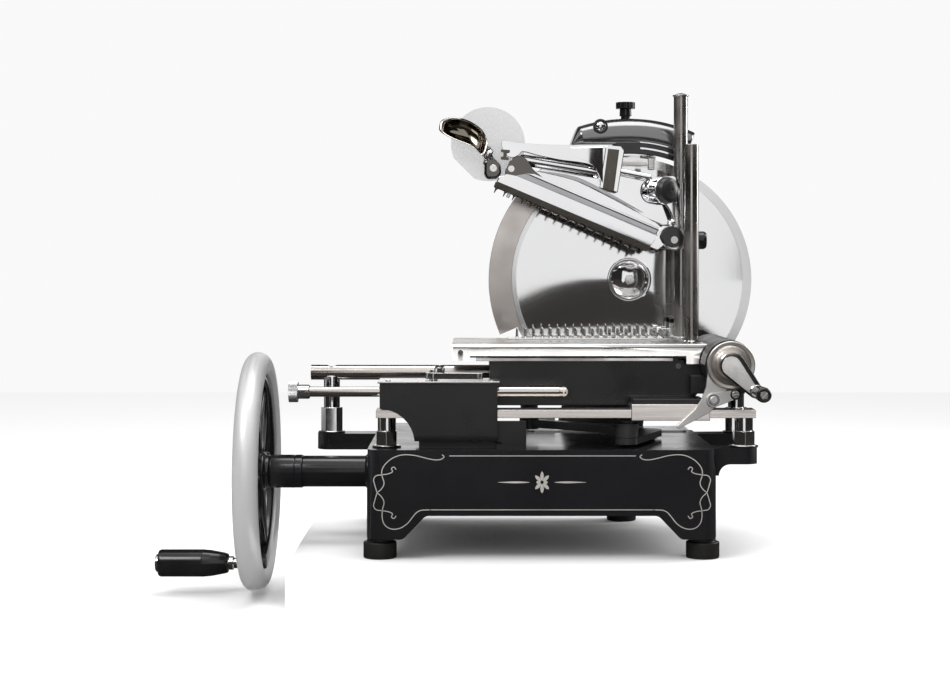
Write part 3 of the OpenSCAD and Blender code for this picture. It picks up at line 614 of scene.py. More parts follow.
def make_spokes():
    """Cast ring, hub and six leaf-shaped spoke loops with round ribs."""
    bm = bmesh.new()
    ring = eased([(RING_R, -7), (RING_R, 7), (RING_R - 6.5, 6), (RING_R - 8, 0),
                  (RING_R - 6.5, -6)], 2.2)
    add_lathe(bm, [(p.x, WHEEL_MID + p.y) for p in ring + ring[:1]], "X", HUB, 144)
    hub_end = low("wheel_collar").x
    hub = eased([(9.1, -10), (14, -10), (20, -5), (20, 7), (17, 9), (17, hub_end - WHEEL_MID),
                 (9.1, hub_end - WHEEL_MID)], 1.6, closed=False)
    add_lathe(bm, [(p.x, WHEEL_MID + p.y) for p in hub] + [(9.1, WHEEL_MID - 10)], "X", HUB, 64)
    inner, outer, half = 17.0, RING_R - 5, 17.5
    for k in range(6):
        turn = math.radians(60 * k)
        path = []
        for i in range(48):
            t = 2 * math.pi * i / 48
            along = (inner + outer) / 2 - (outer - inner) / 2 * math.cos(t)
            across = half * math.sin(t) * (0.78 + 0.22 * math.cos(t)) * abs(math.sin(t)) ** 0.25
            path.append((WHEEL_MID, HUB[0] + along * math.cos(turn) - across * math.sin(turn),
                         HUB[1] + along * math.sin(turn) + across * math.cos(turn)))
        add_tube(bm, path, 2.5, closed=True, sides=10, squash=(1.0, 1.7), up=(1, 0, 0))
    grip = pivot("grip_spin")
    boss = eased([(0.1, -9), (7.5, -9), (8.5, 0), (7.5, 9), (0.1, 9)], 1.5, closed=False)
    add_lathe(bm, [(p.x, WHEEL_MID + p.y) for p in boss], "X", (grip.y, grip.z), 40)
    bmesh.ops.remove_doubles(bm, verts=bm.verts, dist=0.001)
    finish(bm, "wheel_leaf_spokes", "flywheel", wheel_black, ["wheel_spokes"])


def make_grip():
    """Black grip that narrows to the wheel, its chrome end cap and its spindle."""
    y, z = pivot("grip_spin").y, pivot("grip_spin").z
    start, end = low("handle_grip").x, high("handle_grip").x
    outline = [(4.6, start), (12.6, start), (13.6, start + 1.2), (14, start + 3),
               (14, end - 26), (13.4, end - 18), (11.6, end - 8), (10.4, end - 2), (9.6, end),
               (4.6, end)]
    lathe("grip_moulding", outline, "X", (y, z), "grip", bakelite,
          ["handle_grip"], 1.0)
    band = [(14.02, end - 27), (14.25, end - 26.4), (14.02, end - 25.8)]
    turned_ring("grip_bead", band, "X", (y, z), "grip", bakelite)
    cap = low("handle_spindle").x
    wheel_side = WHEEL_MID + 8
    spindle = [(0, cap), (7.5, cap), (9, cap + 1), (9, cap + 3), (4.5, cap + 3.1),
               (4.5, end + 1), (7, end + 1.2), (7, end + 5), (5.4, end + 6), (5.4, wheel_side - 1),
               (0, wheel_side)]
    lathe("grip_spindle", spindle, "X", (y, z), "flywheel", soft_chrome, ["handle_spindle"],
          slot="bearing_steel")


def make_collar():
    """Clamp collar of the wheel with its step, its groove and two set screws."""
    start, end = low("wheel_collar").x, high("wheel_collar").x
    outline = [(9.1, start), (15.5, start), (17, start + 1.5), (17, end - 9), (16.4, end - 8.4),
               (17, end - 7.8), (17, end - 1), (16, end), (9.1, end)]
    lathe("collar_turned", outline, "X", HUB, "flywheel", black, ["wheel_collar"], 0.6,
          "black_oxide")
    for letter, x in (("a", start + 9), ("b", end - 10)):
        for half, side in (("top", 3.1), ("low", -3.1)):
            top = HUB[1] + math.copysign(math.sqrt(17 ** 2 - 6 ** 2), side)
            bm = bmesh.new()
            add_lathe(bm, [(0, top + side * 0.2), (2.3, top + side * 0.1), (2.6, top - side * 0.5),
                           (0, top - side * 0.5)], "Z", (x, HUB[0] - 6), 24)
            finish(bm, f"collar_screw_{half}_{letter}", "flywheel", near_black_and_shade)


make_rim()
make_spokes()
make_grip()
make_collar()

# ---- blade, guard and sharpener ------------------------------------------------

BLADE_R = high("blade").z - BLADE.z
BLADE_AT = (BLADE.x, BLADE.z)


def make_blade():
    """Hollow-ground disc: bevelled edge, a shallow dish, a hub seat and its locating hole."""
    front, back = low("blade").y, high("blade").y
    face = front + 2.4
    profile = [(12, back), (26, back), (28, back - 1.5), (36, front + 7.6), (100, front + 6.4),
               (BLADE_R - 11, front + 4.4), (BLADE_R, front + 0.25), (BLADE_R, front),
               (BLADE_R - 5, front + 1.25), (BLADE_R - 9, face - 0.05), (BLADE_R - 9.6, face),
               (BLADE_R - 40, face), (60, face), (24, face), (23, face + 0.4), (22.5, face + 6),
               (12, face + 6), (12, back)]
    bm = bmesh.new()
    add_lathe(bm, profile, "Y", BLADE_AT, 224)
    bmesh.ops.remove_doubles(bm, verts=bm.verts, dist=0.001)
    disc = finish(bm, "blade_ground", "blade_unit", blade_steel, ["blade"], 12)
    hole = bmesh.new()
    add_lathe(hole, [(0, front - 5), (2.8, front - 5), (2.8, back + 5), (0, back + 5)], "Y",
              (BLADE.x - 39, BLADE.z - 57), 32)
    bmesh.ops.scale(hole, vec=(MM, MM, MM), verts=hole.verts)
    cut = disc.modifiers.new("hole", "BOOLEAN")
    cut.operation = "DIFFERENCE"
    cut.object = as_object(hole, "hole")
    shown = disc.evaluated_get(bpy.context.evaluated_depsgraph_get())
    disc.data = bpy.data.meshes.new_from_object(shown)
    bpy.data.objects.remove(cut.object)
    disc.modifiers.remove(cut)


def make_cap():
    """Chrome dome over the blade's hub with a hexagon socket screw in its middle."""
    r = (high("blade_cap").x - low("blade_cap").x) / 2
    front, back = low("blade_cap").y, high("blade_cap").y
    dome = [(r * math.sin(math.radians(t)), front + (back - front) * 0.8
             - (back - front) * 0.8 * math.cos(math.radians(t))) for t in range(0, 91, 5)]
    bm = bmesh.new()
    add_lathe(bm, dome + [(r, back), (0, back)], "Y", BLADE_AT, 96)
    finish(bm, "hub_dome", "blade_unit", bright, ["blade_cap"])
    hexagon = [(BLADE_AT[0] + 5.6 * math.cos(math.radians(60 * k + 10)),
                BLADE_AT[1] + 5.6 * math.sin(math.radians(60 * k + 10))) for k in range(6)]
    plate("hub_hexagon", hexagon, "Y", front - 0.6, front + 3, 0.5, "blade_unit", soft_chrome)


def arc_bar(name, r0, r1, y0, y1, a0, a1, edge, material):
    """Arched bar about the blade's axis between two radii and two angles."""
    outline = arc(BLADE_AT, r1, a0, a1, 40) + arc(BLADE_AT, r0, a1, a0, 40)
    plate(name, outline, "Y", y0, y1, edge, "frame", material)


def make_sharpener():
    """Black arched cover with a recessed push button, its trim strips and its T-knob."""
    y0, y1 = low("sharpener_cover").y, high("sharpener_cover").y
    # Front faces of the hood along its arch, each from its lower edge over its round brow
    stations = []
    for angle in (65.8, 66, 66.6, *range(68, 108, 2), 107.6, 108.3, 108.8, 109.6, 111, 112.3,
                  113.2):
        t = math.radians(angle)
        outer = 176.2 - 3.3 * max(0.0, angle - 108.5)
        inner = 146.6 / math.sin(t) if angle > 90 else 146.6
        tuck = 2.2 * max(0.0, (66.6 - angle) / 0.8) + 0.8 * max(0.0, angle - 108.5)
        outline = []
        for share, depth in ((0.0, 7.0), (0.02, 3.2), (0.12, 0.9), (0.3, 0.0), (0.5, 0.1),
                             (0.68, 1.6), (0.82, 4.8), (0.92, 9.0), (0.98, 15.0), (1.0, 22.0),
                             (1.0, y1 - y0), (0.9, y1 - y0), (0.9, 26.0), (0.1, 26.0)):
            r = inner + (outer - inner) * share
            outline.append((BLADE.x + r * math.cos(t), y0 + depth + tuck * (depth < 23),
                            BLADE.z + r * math.sin(t)))
        stations.append(outline)
    bm = bmesh.new()
    add_loft(bm, stations)
    finish(bm, "sharpener_hood", "frame", hood_black, ["sharpener_cover"], 50)
    arc_bar("hood_lip", 148.6, 152.6, y0 + 1, y0 + 5, 64.2, 86, 0.5, bright)
    arc_bar("hood_inner", 137, 150, y0 + 2, y0 + 4, 64.2, 96, 0.5, black)
    arc_bar("hood_inner_trim", 142, 144, y0 + 1.4, y0 + 2.4, 64.6, 85.5, 0.2, bright)
    button = middle("sharpener_button")
    turned_ring("button_seat", [(5.7, y0 + 1), (5.7, y0 - 0.3), (6.3, y0 - 0.8), (8, y0 - 0.2),
                                (8, y0 + 1)], "Y", (button.x, button.z), "frame", near_black_and_shade,
                "black_enamel")
    front, back = low("sharpener_button").y, high("sharpener_button").y
    lathe("button_dome", [(0, front), (3.6, front + 0.3), (5, front + 1.4), (5.5, front + 3),
                          (5.5, back), (0, back)],
          "Y", (button.x, button.z), "button", bright, ["sharpener_button"])
    knob = middle("sharpener_knob")
    top = high("sharpener_knob").z
    flutes = [(knob.x + r * math.cos(t), knob.y + r * math.sin(t)) for k in range(96)
              for r, t in [(9.8 if math.cos(k * math.pi / 4) > 0.3 else 10.5, math.tau * k / 96)]]
    plate("t_knob_head", flutes, "Z", top - 7, top, 0.3, "sharpener", bakelite,
          ["sharpener_knob"])
    lathe("t_knob_stem", [(0, top - 52), (5, top - 52), (5, top - 15.2), (6.6, top - 15),
                          (6.2, top - 7), (0, top - 7)], "Z", (knob.x, knob.y), "sharpener",
          bakelite, (), 0.6)


make_blade()
make_cap()
make_sharpener()

# ---- press -------------------------------------------------------------------

JAW = pivot("press_swing")
TILT = math.radians(23)
JAW_FRONT, JAW_BACK = 102.0, 134.0


def on_jaw(u, v):
    """Point of the tilted jaw, given along it and across it from its pivot."""
    return (JAW.x + u * math.cos(TILT) + v * math.sin(TILT),
            JAW.z - u * math.sin(TILT) + v * math.cos(TILT))


def jaw_plate(name, outline, y0, y1, edge, material, replaces=()):
    """Plate of the press with its outline given along and across the jaw."""
    plate(name, [on_jaw(u, v) for u, v in outline], "Y", y0, y1, edge, "press", material,
          replaces)


def make_jaw():
    """Toothed strips, the bright jaw plate above them and the hollow ridge over it."""
    y0, y1 = JAW_FRONT, JAW_BACK
    jaw_plate("jaw_face", [(-193.5, -17.3), (-20, -17.3), (-14, -8), (-17, -3), (-176, -3),
                           (-186, -5), (-192.5, -11)], y0, y1, 1.2, bright,
              ["press_jaw"])
    jaw_plate("jaw_step", [(-178, -3.4), (-16, -3.4), (-18, 2.4), (-168, 3)], y0 + 1.6, y1 - 1.6,
              0.6, dark_chrome)
    jaw_plate("jaw_bead", [(-170, 2.4), (-18, 1.8), (-19, 4.6), (-160, 6)], y0 + 0.8, y1 - 0.8,
              0.9, bright)
    ridge = flowing([(-165, 6), (-150, 13), (-125, 16.5), (-90, 15), (-50, 11.5), (-22, 8),
                     (-18, 4), (-60, 5), (-120, 5)])
    jaw_plate("jaw_ridge", ridge, y0 + 5, y1 - 5, 2.2, bright)
    rib = flowing([(-160, 9.5), (-120, 20), (-80, 18), (-40, 13), (-80, 15), (-120, 16)])
    jaw_plate("jaw_rib", rib, y0 + 2.5, y0 + 6, 0.8, dark_chrome)
    strip = [(-194, -22), (-20, -22), (-20, -17.2), (-194, -17.2)]
    thorn = [(-0.4, -21.9), (3.4, -21.9), (2, -23.6), (1.2, -27.4), (0.4, -27.5), (0.3, -23.8)]
    for i, y in enumerate((y0, y1 - 3)):
        bm = bmesh.new()
        add_prism(bm, [on_jaw(*p) for p in strip], "Y", y, y + 3)
        for k in range(17):
            add_prism(bm, [on_jaw(-192 + k * 10.2 + u, v) for u, v in thorn], "Y", y + 0.2,
                      y + 2.8)
        soften(bm, 0.25, 1)
        finish(bm, f"tooth_strip_{i}", "press", tooth_steel, () if i else ["jaw_teeth"])


def make_arm():
    """Saddle arm, its rod, the square block in its frame, the web and the curved link."""
    saddle = flowing([(-36.6, 414.6), (-20, 412.8), (10, 411), (40, 410.4), (62, 409.8),
                      (71.5, 407), (71.5, 396), (70.5, 386), (68.5, 374), (65, 371), (62.5, 380),
                      (57, 389), (44, 392.5), (24, 395), (2, 399.5), (-15, 403.8),
                      (-20, 400), (-27, 397.5), (-35, 402.5)], steps=4)
    plate("arm_saddle", saddle, "Y", 105.5, 130.5, 2.4, "press", bright,
          ["press_arm"])
    # Neck that widens from the arm to the block
    low_edge = [(34, 398.6), (40, 397.6), (46, 395.8), (52, 393), (57, 389.6), (60.5, 385.6),
                (63, 380.4), (65, 375), (67.4, 371)]
    sections = []
    for x, z in low_edge:
        flare = 3.4 * ((x - 34) / 33.4) ** 2
        sections.append([(x, 105.3 - flare, z), (x, 105.3 - flare, 407.6),
                         (x, 106 - flare, 408.4), (x, 130 + flare, 408.4),
                         (x, 130.7 + flare, 407.6), (x, 130.7 + flare, z)])
    bm = bmesh.new()
    add_loft(bm, sections)
    finish(bm, "arm_neck", "press", bright, even=False)
    frame_outline = [(70.4, 408.2), (73.2, 410.2), (86.3, 409), (89.8, 404.4), (82.7, 361),
                     (63.8, 365.8)]
    plate("block_frame", frame_outline, "Y", 102.6, 133.4, 0.9, "press", bright)
    plate("block_face", [(72.8, 406.6), (84.4, 405.4), (78.8, 362.6), (67.2, 365.4)], "Y",
          102.05, 133.95, 0.3, "press", block_steel)
    stepped_rod("arm_rod", (-19.6, 117, 396.4), (66, 117, 382.4),
                [(0.0, 1.5), (0.008, 3.4), (0.022, 4.8), (0.045, 5.7), (0.07, 6.0), (1.0, 6.0)],
                36, "press")
    stepped_rod("arm_rod_tail", (84, 117, 384), (119, 117, 377.2),
                [(0.0, 2.8), (0.02, 3.3), (0.96, 3.3), (1.0, 2.6)], 28, "press")
    plate("arm_rear_bar", [(84, 390.2), (117, 389.6), (117, 393.6), (84, 394.4)], "Y", 121.5, 126.5,
          0.5, "press", warm_nickel, slot="chrome")
    plate("arm_rear_stop", [(116, 385.8), (122.5, 385.4), (122.5, 397), (116, 397.6)], "Y", 119.5,
          128.5, 0.8, "press", tray_steel, slot="chrome")
    web = [(-158, 10), (-17, 10), (-8, 13), (-28, 34), (-45, 47), (-100, 36), (-152, 22)]
    jaw_plate("arm_web", eased(web, 4), 123.5, 127.5, 0.9, bright)
    link = flowing([(124, 374.5), (134, 372), (142, 358), (149.5, 341), (150.5, 326),
                    (145, 324), (141, 339), (132, 352), (118, 359)])
    plate("arm_link", link, "Y", 125.5, 133.5, 1.8, "press", bright)
    ball = pivot("press_swing")
    lathe("link_ball", [(0, 119.5), (2.4, 120.1), (4.2, 122), (4.2, 124.5), (3, 126.4), (0, 127)],
          "Y", (ball.x - 1.5, ball.z + 17.5), "press", bright)
    lug = flowing([(-20, -3), (-17, 8), (-6, 10.5), (4, 9), (11, 1), (8, -8), (0, -11),
                   (-11, -9)])
    slider = BODY_OF["press_slider"]
    plate("pivot_lug", eased([(126, 315.5), (131, 324.5), (138, 326.8), (146, 323.5),
                              (151.4, 314), (146.5, 305.5), (138, 304), (130.5, 307.5)], 3), "Y",
          92.6, 95.2, 0.8, slider, black, slot="black_oxide")
    jaw_plate("pivot_plate", lug, JAW_FRONT, JAW_BACK, 1.2, bright)
    screw("pivot_screw", (140.4, 92.8, 311.9), "Y", 3.7, slider, pale_nickel, 1.0)
    jaw_plate("jaw_end_fork", [(-21, -17), (-12, -17), (-6, -6), (-17, 3)], 101.6, 106, 0.6,
              bright)
    jaw_plate("arm_nose", flowing([(-187, -6), (-189, 8), (-183, 17), (-174, 17), (-163, 10),
                                   (-150, 5), (-165, -2)]), 106.5, 129.5, 4.0, lug_steel)
    cross = [(-4.5, 5), (5, 4.4), (4.6, 1.6), (1.8, 1.2), (1.4, -3), (4, -3.4), (3.6, -6),
             (-4.6, -5.4), (-4.6, -2.6), (-2, -2.4), (-1.8, 2), (-4.6, 2.4)]
    plate("bolt_cross", eased([(x - 33.7, z + 400.8) for x, z in cross], 0.6), "Y", 102.6, 106,
          0.4, "press", block_steel, slot="chrome")
    screw("nose_screw", (-27.4, 106.4, 385.9), "Y", 3.4, "press", soft_chrome, 1.3, 80)
    jaw_plate("jaw_peg", [(-178, -27), (-174.5, -27), (-174.5, -15), (-178, -15)], 116, 119.5,
              0.6, soft_chrome)


def make_clamp():
    """Chrome barrel with a black domed knob on its end."""
    joint = JOINTS["clamp_knob_turn"]
    root, axis = Vector(joint["pos_m"]) / MM, Vector(joint["axis"]).normalized()
    turn = axis.to_track_quat("Z", "Y").to_matrix().to_4x4()

    def turned_part(name, profile, body, material, replaces=()):
        bm = bmesh.new()
        add_lathe(bm, [tuple(p) for p in eased(profile, 0.9, closed=False)], "Z", (0, 0), 64)
        bmesh.ops.transform(bm, matrix=Matrix.Translation(root) @ turn, verts=bm.verts)
        finish(bm, name, body, material, replaces)

    turned_part("clamp_barrel", [(0, -4), (10, -4), (13, -1), (13.4, 1), (13.4, 8.5), (12, 9.3),
                                 (0, 9.3)], "press", bright)
    turned_part("clamp_band", [(0, 9.6), (13.9, 9.6), (14.4, 10.4), (14.4, 20), (13.8, 20.8),
                               (0, 20.8)], "clamp", bright, ["clamp_knob"])
    dome = [(0, 20.6), (13.9, 20.6), (13.9, 25), (12.6, 28.4), (9.5, 30.2), (5, 31.2), (1.6, 31.5),
            (1.2, 30.6), (0, 30.4)]
    turned_part("clamp_dome", dome, "clamp", matt_black)
    plate("clamp_shelf", eased([(119, 377), (141, 378.5), (146.5, 375), (146.5, 372.5),
                                (128, 374.8), (119, 373.5)], 0.8), "Y", 108, 131, 0.5, "press",
          bright)


def make_spoon():
    """Thumb rest of the press: a deep hollow bowl with a thick rim, its neck and its root."""
    rim = flowing([(-102.4, 428.1), (-100.8, 435.8), (-94.6, 439.4), (-86.3, 440.3),
                   (-74.4, 437.7), (-64.9, 432.9), (-56.6, 425.8), (-52.4, 416.3), (-51.8, 406.7),
                   (-56, 398.4), (-62.5, 404.4), (-70.9, 410.3), (-86.3, 416.3), (-95.8, 421),
                   (-100.9, 424.6)], steps=5)
    heart = Vector((-72.5, 421))

    def bowl_loops(bm, rings):
        return [loop_of(bm, [(q.x, 104 + 0.26 * (q.y - 397) + back, q.y)
                             for q in (heart + (p - heart) * share for p in rim)])
                for share, back in rings]

    # (share of the rim's outline, distance behind the rim's plane)
    lining = [(0.85, -0.6), (0.81, 1.6), (0.72, 5.6), (0.56, 8.8), (0.34, 10.8), (0.04, 11.6)]
    for name, rings, look in (
            ("spoon_bowl", [(0.04, 13.6), (0.36, 13.0), (0.66, 10.6), (0.86, 6.8), (0.97, 2.4),
                            (1.0, 0.4), (0.99, -1.2), (0.95, -2.2), (0.9, -2.0), *lining],
             rim_nickel),
            # The hollow's lining is far darker than the rim: painted shade inside the bowl
            ("spoon_hollow", [(share, back + 0.3) for share, back in reversed(lining)]
                             + [(share - 0.006, back - 0.15) for share, back in lining],
             bowl_painted_shade)):
        bm = bmesh.new()
        loops = bowl_loops(bm, rings)
        for one, two in zip(loops, loops[1:]):
            bridge(bm, one, two)
        bm.faces.new(loops[0])
        bm.faces.new(loops[-1])
        finish(bm, name, "handle", look, ["press_handle"] if name == "spoon_bowl" else (), 60,
               False)
    pin = pivot("handle_swing")
    stepped_rod("spoon_neck", (-53.5, 112, 407.5), (-49.8, 117.5, 393.5),
                [(0.0, 5.2), (0.12, 5.0), (0.18, 6.2), (0.3, 6.9), (0.42, 6.2), (0.48, 4.8),
                 (0.6, 4.7), (0.8, 5.4), (1.0, 7.4)], 36, "handle", False)
    root = eased([(-55.2, 394), (-50.5, 396.2), (-43.5, 395.4), (-38.4, 390), (-37.6, 381),
                  (-43, 376.2), (-52.6, 376.2), (-55.4, 380)], 2.2)
    for name, y0, y1 in (("spoon_root_front", 106, 112.3), ("spoon_root_back", 123.7, 134)):
        plate(name, root, "Y", y0, y1, 2.6, "handle", lug_steel)
    screw("spoon_screw", (pin.x + 1, 105.9, pin.z + 0.5), "Y", 3.8, "handle", soft_chrome, 1.4, 20)


def make_lock_knob():
    """Small black domed lock knob with a chrome washer under it."""
    at = pivot("lock_knob_turn")
    start, end = low("press_lock_knob").x, high("press_lock_knob").x
    lathe("lock_knob_dome", [(0, start), (2.9, start), (2.9, end - 11), (9, end - 11),
                             (9.6, end - 9), (9.6, end - 3.6), (8, end - 1), (0, end)], "X",
          (at.y, at.z), "lock_knob", bakelite, ["press_lock_knob"], 0.8)
    turned_ring("lock_knob_washer", [(2.9, end - 12.6), (8.4, end - 12.6), (8.6, end - 11.1),
                                     (2.9, end - 11.1)], "X", (at.y, at.z), "lock_knob", bright)


make_jaw()
make_arm()
make_clamp()
make_spoon()
make_lock_knob()

# ---- feed ----------------------------------------------------------------------


def make_feed():
    """Dished disc, teardrop crank with a pale face, the knob and the link's screws."""
    axis = pivot("feed_turn")
    tip = pivot("feed_knob_spin")
    disc_front, disc_back = low("feed_disc").y, high("feed_disc").y
    lathe("disc_dished", [(6.1, disc_back), (14, disc_back), (23, disc_back - 2),
                          (23.4, disc_back - 2.6), (23.4, disc_front + 0.4),
                          (22.6, disc_front), (19.5, disc_front + 0.3), (17.5, disc_front + 1.6),
                          (15.8, disc_front + 3.4), (13.5, disc_front + 4.0),
                          (12.2, disc_front + 2.4), (11.6, disc_front + 0.4),
                          (6.1, disc_front + 0.4), (6.1, disc_back)],
          "Y", (axis.x, axis.z), "feed", disc_nickel, ["feed_disc"], 0.5)
    turned_ring("disc_chrome_ring", [(9.1, disc_front), (11.8, disc_front),
                                     (12.4, disc_front - 2.5), (11.2, disc_front - 4.5),
                                     (9.1, disc_front - 4.5)], "Y", (axis.x, axis.z), "feed",
                bright)
    a, b = Vector((axis.x, axis.z)), Vector((tip.x, tip.z))
    along = math.degrees(math.atan2(b.y - a.y, b.x - a.x))
    lean = math.degrees(math.acos((12.5 - 7) / (b - a).length))

    def teardrop(ra, rb, left=0.0):
        side = Vector((left, 0))
        return (arc(b - side, rb, along - lean, along + lean, 14)
                + arc(a - side, ra, along + lean, along + 360 - lean, 36))

    front, back = low("feed_crank").y, -22.0
    bm = bmesh.new()
    add_prism(bm, teardrop(12.5, 7), "Y", front + 0.6, back)
    soften(bm, 2.4, 5)
    add_lathe(bm, [(0, back - 1), (9, back - 1), (9, disc_front - 0.2), (0, disc_front - 0.2)], "Y",
              tuple(a), 48)
    finish(bm, "crank_side", "feed", black, ["feed_crank"])
    plate("crank_face", teardrop(9.6, 4.2, 1.9), "Y", front, front + 1.2, 0.4, "feed", pale_nickel)
    knob_start, knob_end = high("feed_knob").y - 8.5, low("feed_knob").y
    turned_ring("crank_ferrule", [(3, front), (6.3, front), (6.6, front - 2.4),
                                  (5.6, front - 3.2), (3, front - 3.2)], "Y",
                (tip.x, tip.z), "feed", bright)
    lathe("feed_knob_grip", [(0, knob_start), (5.5, knob_start), (5.9, knob_start - 4),
                             (6.7, knob_start - 14), (7.3, knob_end + 5), (7.1, knob_end + 1.4),
                             (6.2, knob_end), (4.6, knob_end), (4.4, knob_end + 1.2),
                             (0, knob_end + 1.2)], "Y", (tip.x, tip.z), "feed_grip", bakelite,
          ["feed_knob"], 0.5)
    screw("feed_knob_screw", (tip.x, knob_end + 1.3, tip.z), "Y", 3.9, "feed_grip",
          soft_chrome, 1.0, 50)
    eye = pivot("link_swing")
    link_front = low("pawl_link").y
    turned_ring("link_ring", [(4.6, link_front + 1.55), (4.6, link_front + 1.25),
                              (5.4, link_front + 1.25), (5.4, link_front + 1.55)], "Y",
                (eye.x, eye.z), "link", near_black_and_shade, "nickel")
    screw("link_end_screw", (188.5, link_front + 0.6, 160.4), "Y", 2.9, "link", soft_chrome,
          0.6, 15)
    turned_ring("link_end_ring", [(3.1, link_front + 1.6), (3.1, link_front + 0.5),
                                  (5.2, link_front + 0.7), (5.2, link_front + 1.6)], "Y",
                (188.5, 160.4), "link", black, "black_oxide")


make_feed()

# ---- table and carriage --------------------------------------------------------


def make_spikes():
    """Thin plate with rows of turned pins that come to a point."""
    lowest, highest = low("spike_plate"), high("spike_plate")
    bm = bmesh.new()
    add_box(bm, (lowest.x, lowest.y, lowest.z), (highest.x, highest.y, lowest.z + 1.4))
    soften(bm, 0.3, 2)
    base, tall = lowest.z + 1.3, highest.z - lowest.z - 1.3
    pin = [(0, 0), (2.0, 0), (1.5, 0.08), (1.05, 0.16), (1.0, 0.66), (0.5, 0.9), (0, 1)]
    for k in range(18):
        for y in (156, 168, 180):
            add_lathe(bm, [(r, base + h * tall) for r, h in pin], "Z",
                      (lowest.x + 10 + k * 9, y), 12)
    finish(bm, "spiked_bed", "table", plate_steel, ["spike_plate"], 50)


def make_table_trim():
    """Apron screw, shadow line, a strip of painted shade in the gap under the apron, foot block of the rear
    column, its bolt, collars.
    """
    lowest, highest = low("meat_table"), high("meat_table")
    front, top = lowest.y, highest.z
    screw("apron_screw", (lowest.x + 8.5, front, 198.5), "Y", 2.6, "table", dark_steel, 0.5, 30)
    plate("apron_shadow_line", [(lowest.x + 1, 203.2), (highest.x - 2, 203.2),
                                (highest.x - 2, 203.9), (lowest.x + 1, 203.9)], "Y",
          front - 0.15, front + 0.3, 0.05, "table", dark_steel)
    # Near-black strip between the apron and the carriage's ledge strip: painted shade in the gap
    plate("apron_gap_painted_shade", [(-70, 193.3), (146, 193.3), (146, 195.2), (-70, 195.2)], "Y",
          front + 0.8, front + 2.4, 0.1, "table", near_black_and_shade, slot="carriage_black")
    bm = bmesh.new()
    for a, b in (((144.5, 176, 207), (157, 188, 210)), ((144.5, 176, 209), (149, 188, 228.4)),
                 ((144.5, 176, 223), (157.5, 188, 228.4)), ((149, 178, 214), (156, 186, 221))):
        add_box(bm, a, b)
    soften(bm, 0.5, 2)
    finish(bm, "column_foot", "table", tray_steel)
    bm = bmesh.new()
    add_lathe(bm, [(0, 131), (3.2, 131), (3.4, 132.5), (3.4, 135.5), (1.8, 136), (1.8, 144.6),
                   (0, 144.6)], "X", (181, 216), 24)
    finish(bm, "column_bolt", "table", bright)
    for end, y in (("front", 70), ("rear", 165)):
        turned_ring(f"column_collar_{end}", [(7.5, top), (9.4, top), (9.6, top + 1.6),
                                             (8.2, top + 2.6), (7.5, top + 2.6)], "Z", (155, y),
                    "table", bright)


def make_carriage_trim():
    """Pale ledge strip under the table's apron, its screw and the seam of the front plate."""
    left, right = low("carriage_body").x, 147.0
    front = 46.2
    plate("ledge_strip", [(left - 14, 189.6), (134, 189.6), (134, 192.9), (left - 14, 192.9)],
          "Y", front, front + 2.4, 0.3, "carriage", pale_nickel)
    screw("ledge_end_screw", (139.5, front + 1.5, 184.6), "Y", 3, "carriage", dark_steel, 0.8)
    plate("front_plate_seam", [(left + 1, 146.4), (right - 12, 146.4), (right - 12, 147.2),
                               (left + 1, 147.2)], "Y", 47.75, 48.2, 0.05, "carriage",
          satin_black)


make_spikes()
make_table_trim()
make_carriage_trim()

# ---- slice thickness setting ---------------------------------------------------


def make_stop_rod():
    """Polished rod with a pale domed tip, a collar and a knurled head."""
    lowest, highest = low("stop_rod"), high("stop_rod")
    at = (18, (lowest.z + highest.z) / 2)
    start, end = lowest.x, highest.x
    dome = [(4.9 * math.cos(math.radians(t)), end - 4.9 + 4.9 * math.sin(math.radians(t)))
            for t in range(0, 90, 10)]
    lathe("stop_rod_turned", [(0, start + 20.5), (5, start + 20.5), (5, end - 8.5),
                              (4.7, end - 8), (4.7, end - 2), (0, end - 2)], "X", at, "stop",
          rod_steel, ["stop_rod"], 0.3)
    lathe("stop_rod_tip", [(0, end - 11), *dome, (0, end)], "X", at, "stop", tip_nylon)
    lathe("stop_rod_collar", [(0, start + 9), (6.6, start + 9), (7, start + 9.8),
                              (7, start + 19.6), (6.2, start + 20.6), (0, start + 20.6)], "X", at,
          "stop", soft_chrome)
    knurl = [(at[0] + r * math.cos(t), at[1] + r * math.sin(t)) for k in range(96)
             for r, t in [(10.5 if k % 2 else 9.9, math.tau * k / 96)]]
    plate("stop_rod_knurl", knurl, "X", start, start + 9, 0.25, "stop", tray_steel,
          slot="chrome")


def make_scale():
    """Graduation ticks on the plate and the domed button of the lock lever."""
    top = high("scale_plate").z
    bm = bmesh.new()
    for k in range(15):
        long = k % 5 == 0
        x = -96 + 3.4 * k
        add_box(bm, (x, -11, top - 0.02), (x + 0.5, -4 if long else -7, top + 0.06))
    finish(bm, "scale_ticks", "frame", near_black_and_shade, slot="dark_steel")
    for k, x in enumerate((-150, -49)):
        screw(f"scale_screw_{k}", (x, -4, top), "Z", 2.8, "frame", soft_chrome, 0.8,
              40 * k, 1, "nickel")
    lever = pivot("lever_turn")
    base, peak = 180.0, high("lock_lever").z
    lathe("lever_button", [(0, base), (5, base), (5.2, peak - 3), (4, peak - 0.8), (0, peak)],
          "Z", (lever.x + 6, lever.y - 1), "lever", bright, (), 0.6)
    plate("housing_foot_line", [(-117, 121), (-45, 121), (-45, 121.8), (-117, 121.8)], "Y",
          -10.15, -9.8, 0.05, "frame", satin_black)


make_stop_rod()
make_scale()

# ---- base ----------------------------------------------------------------------

FRONT = low("base_casting").y
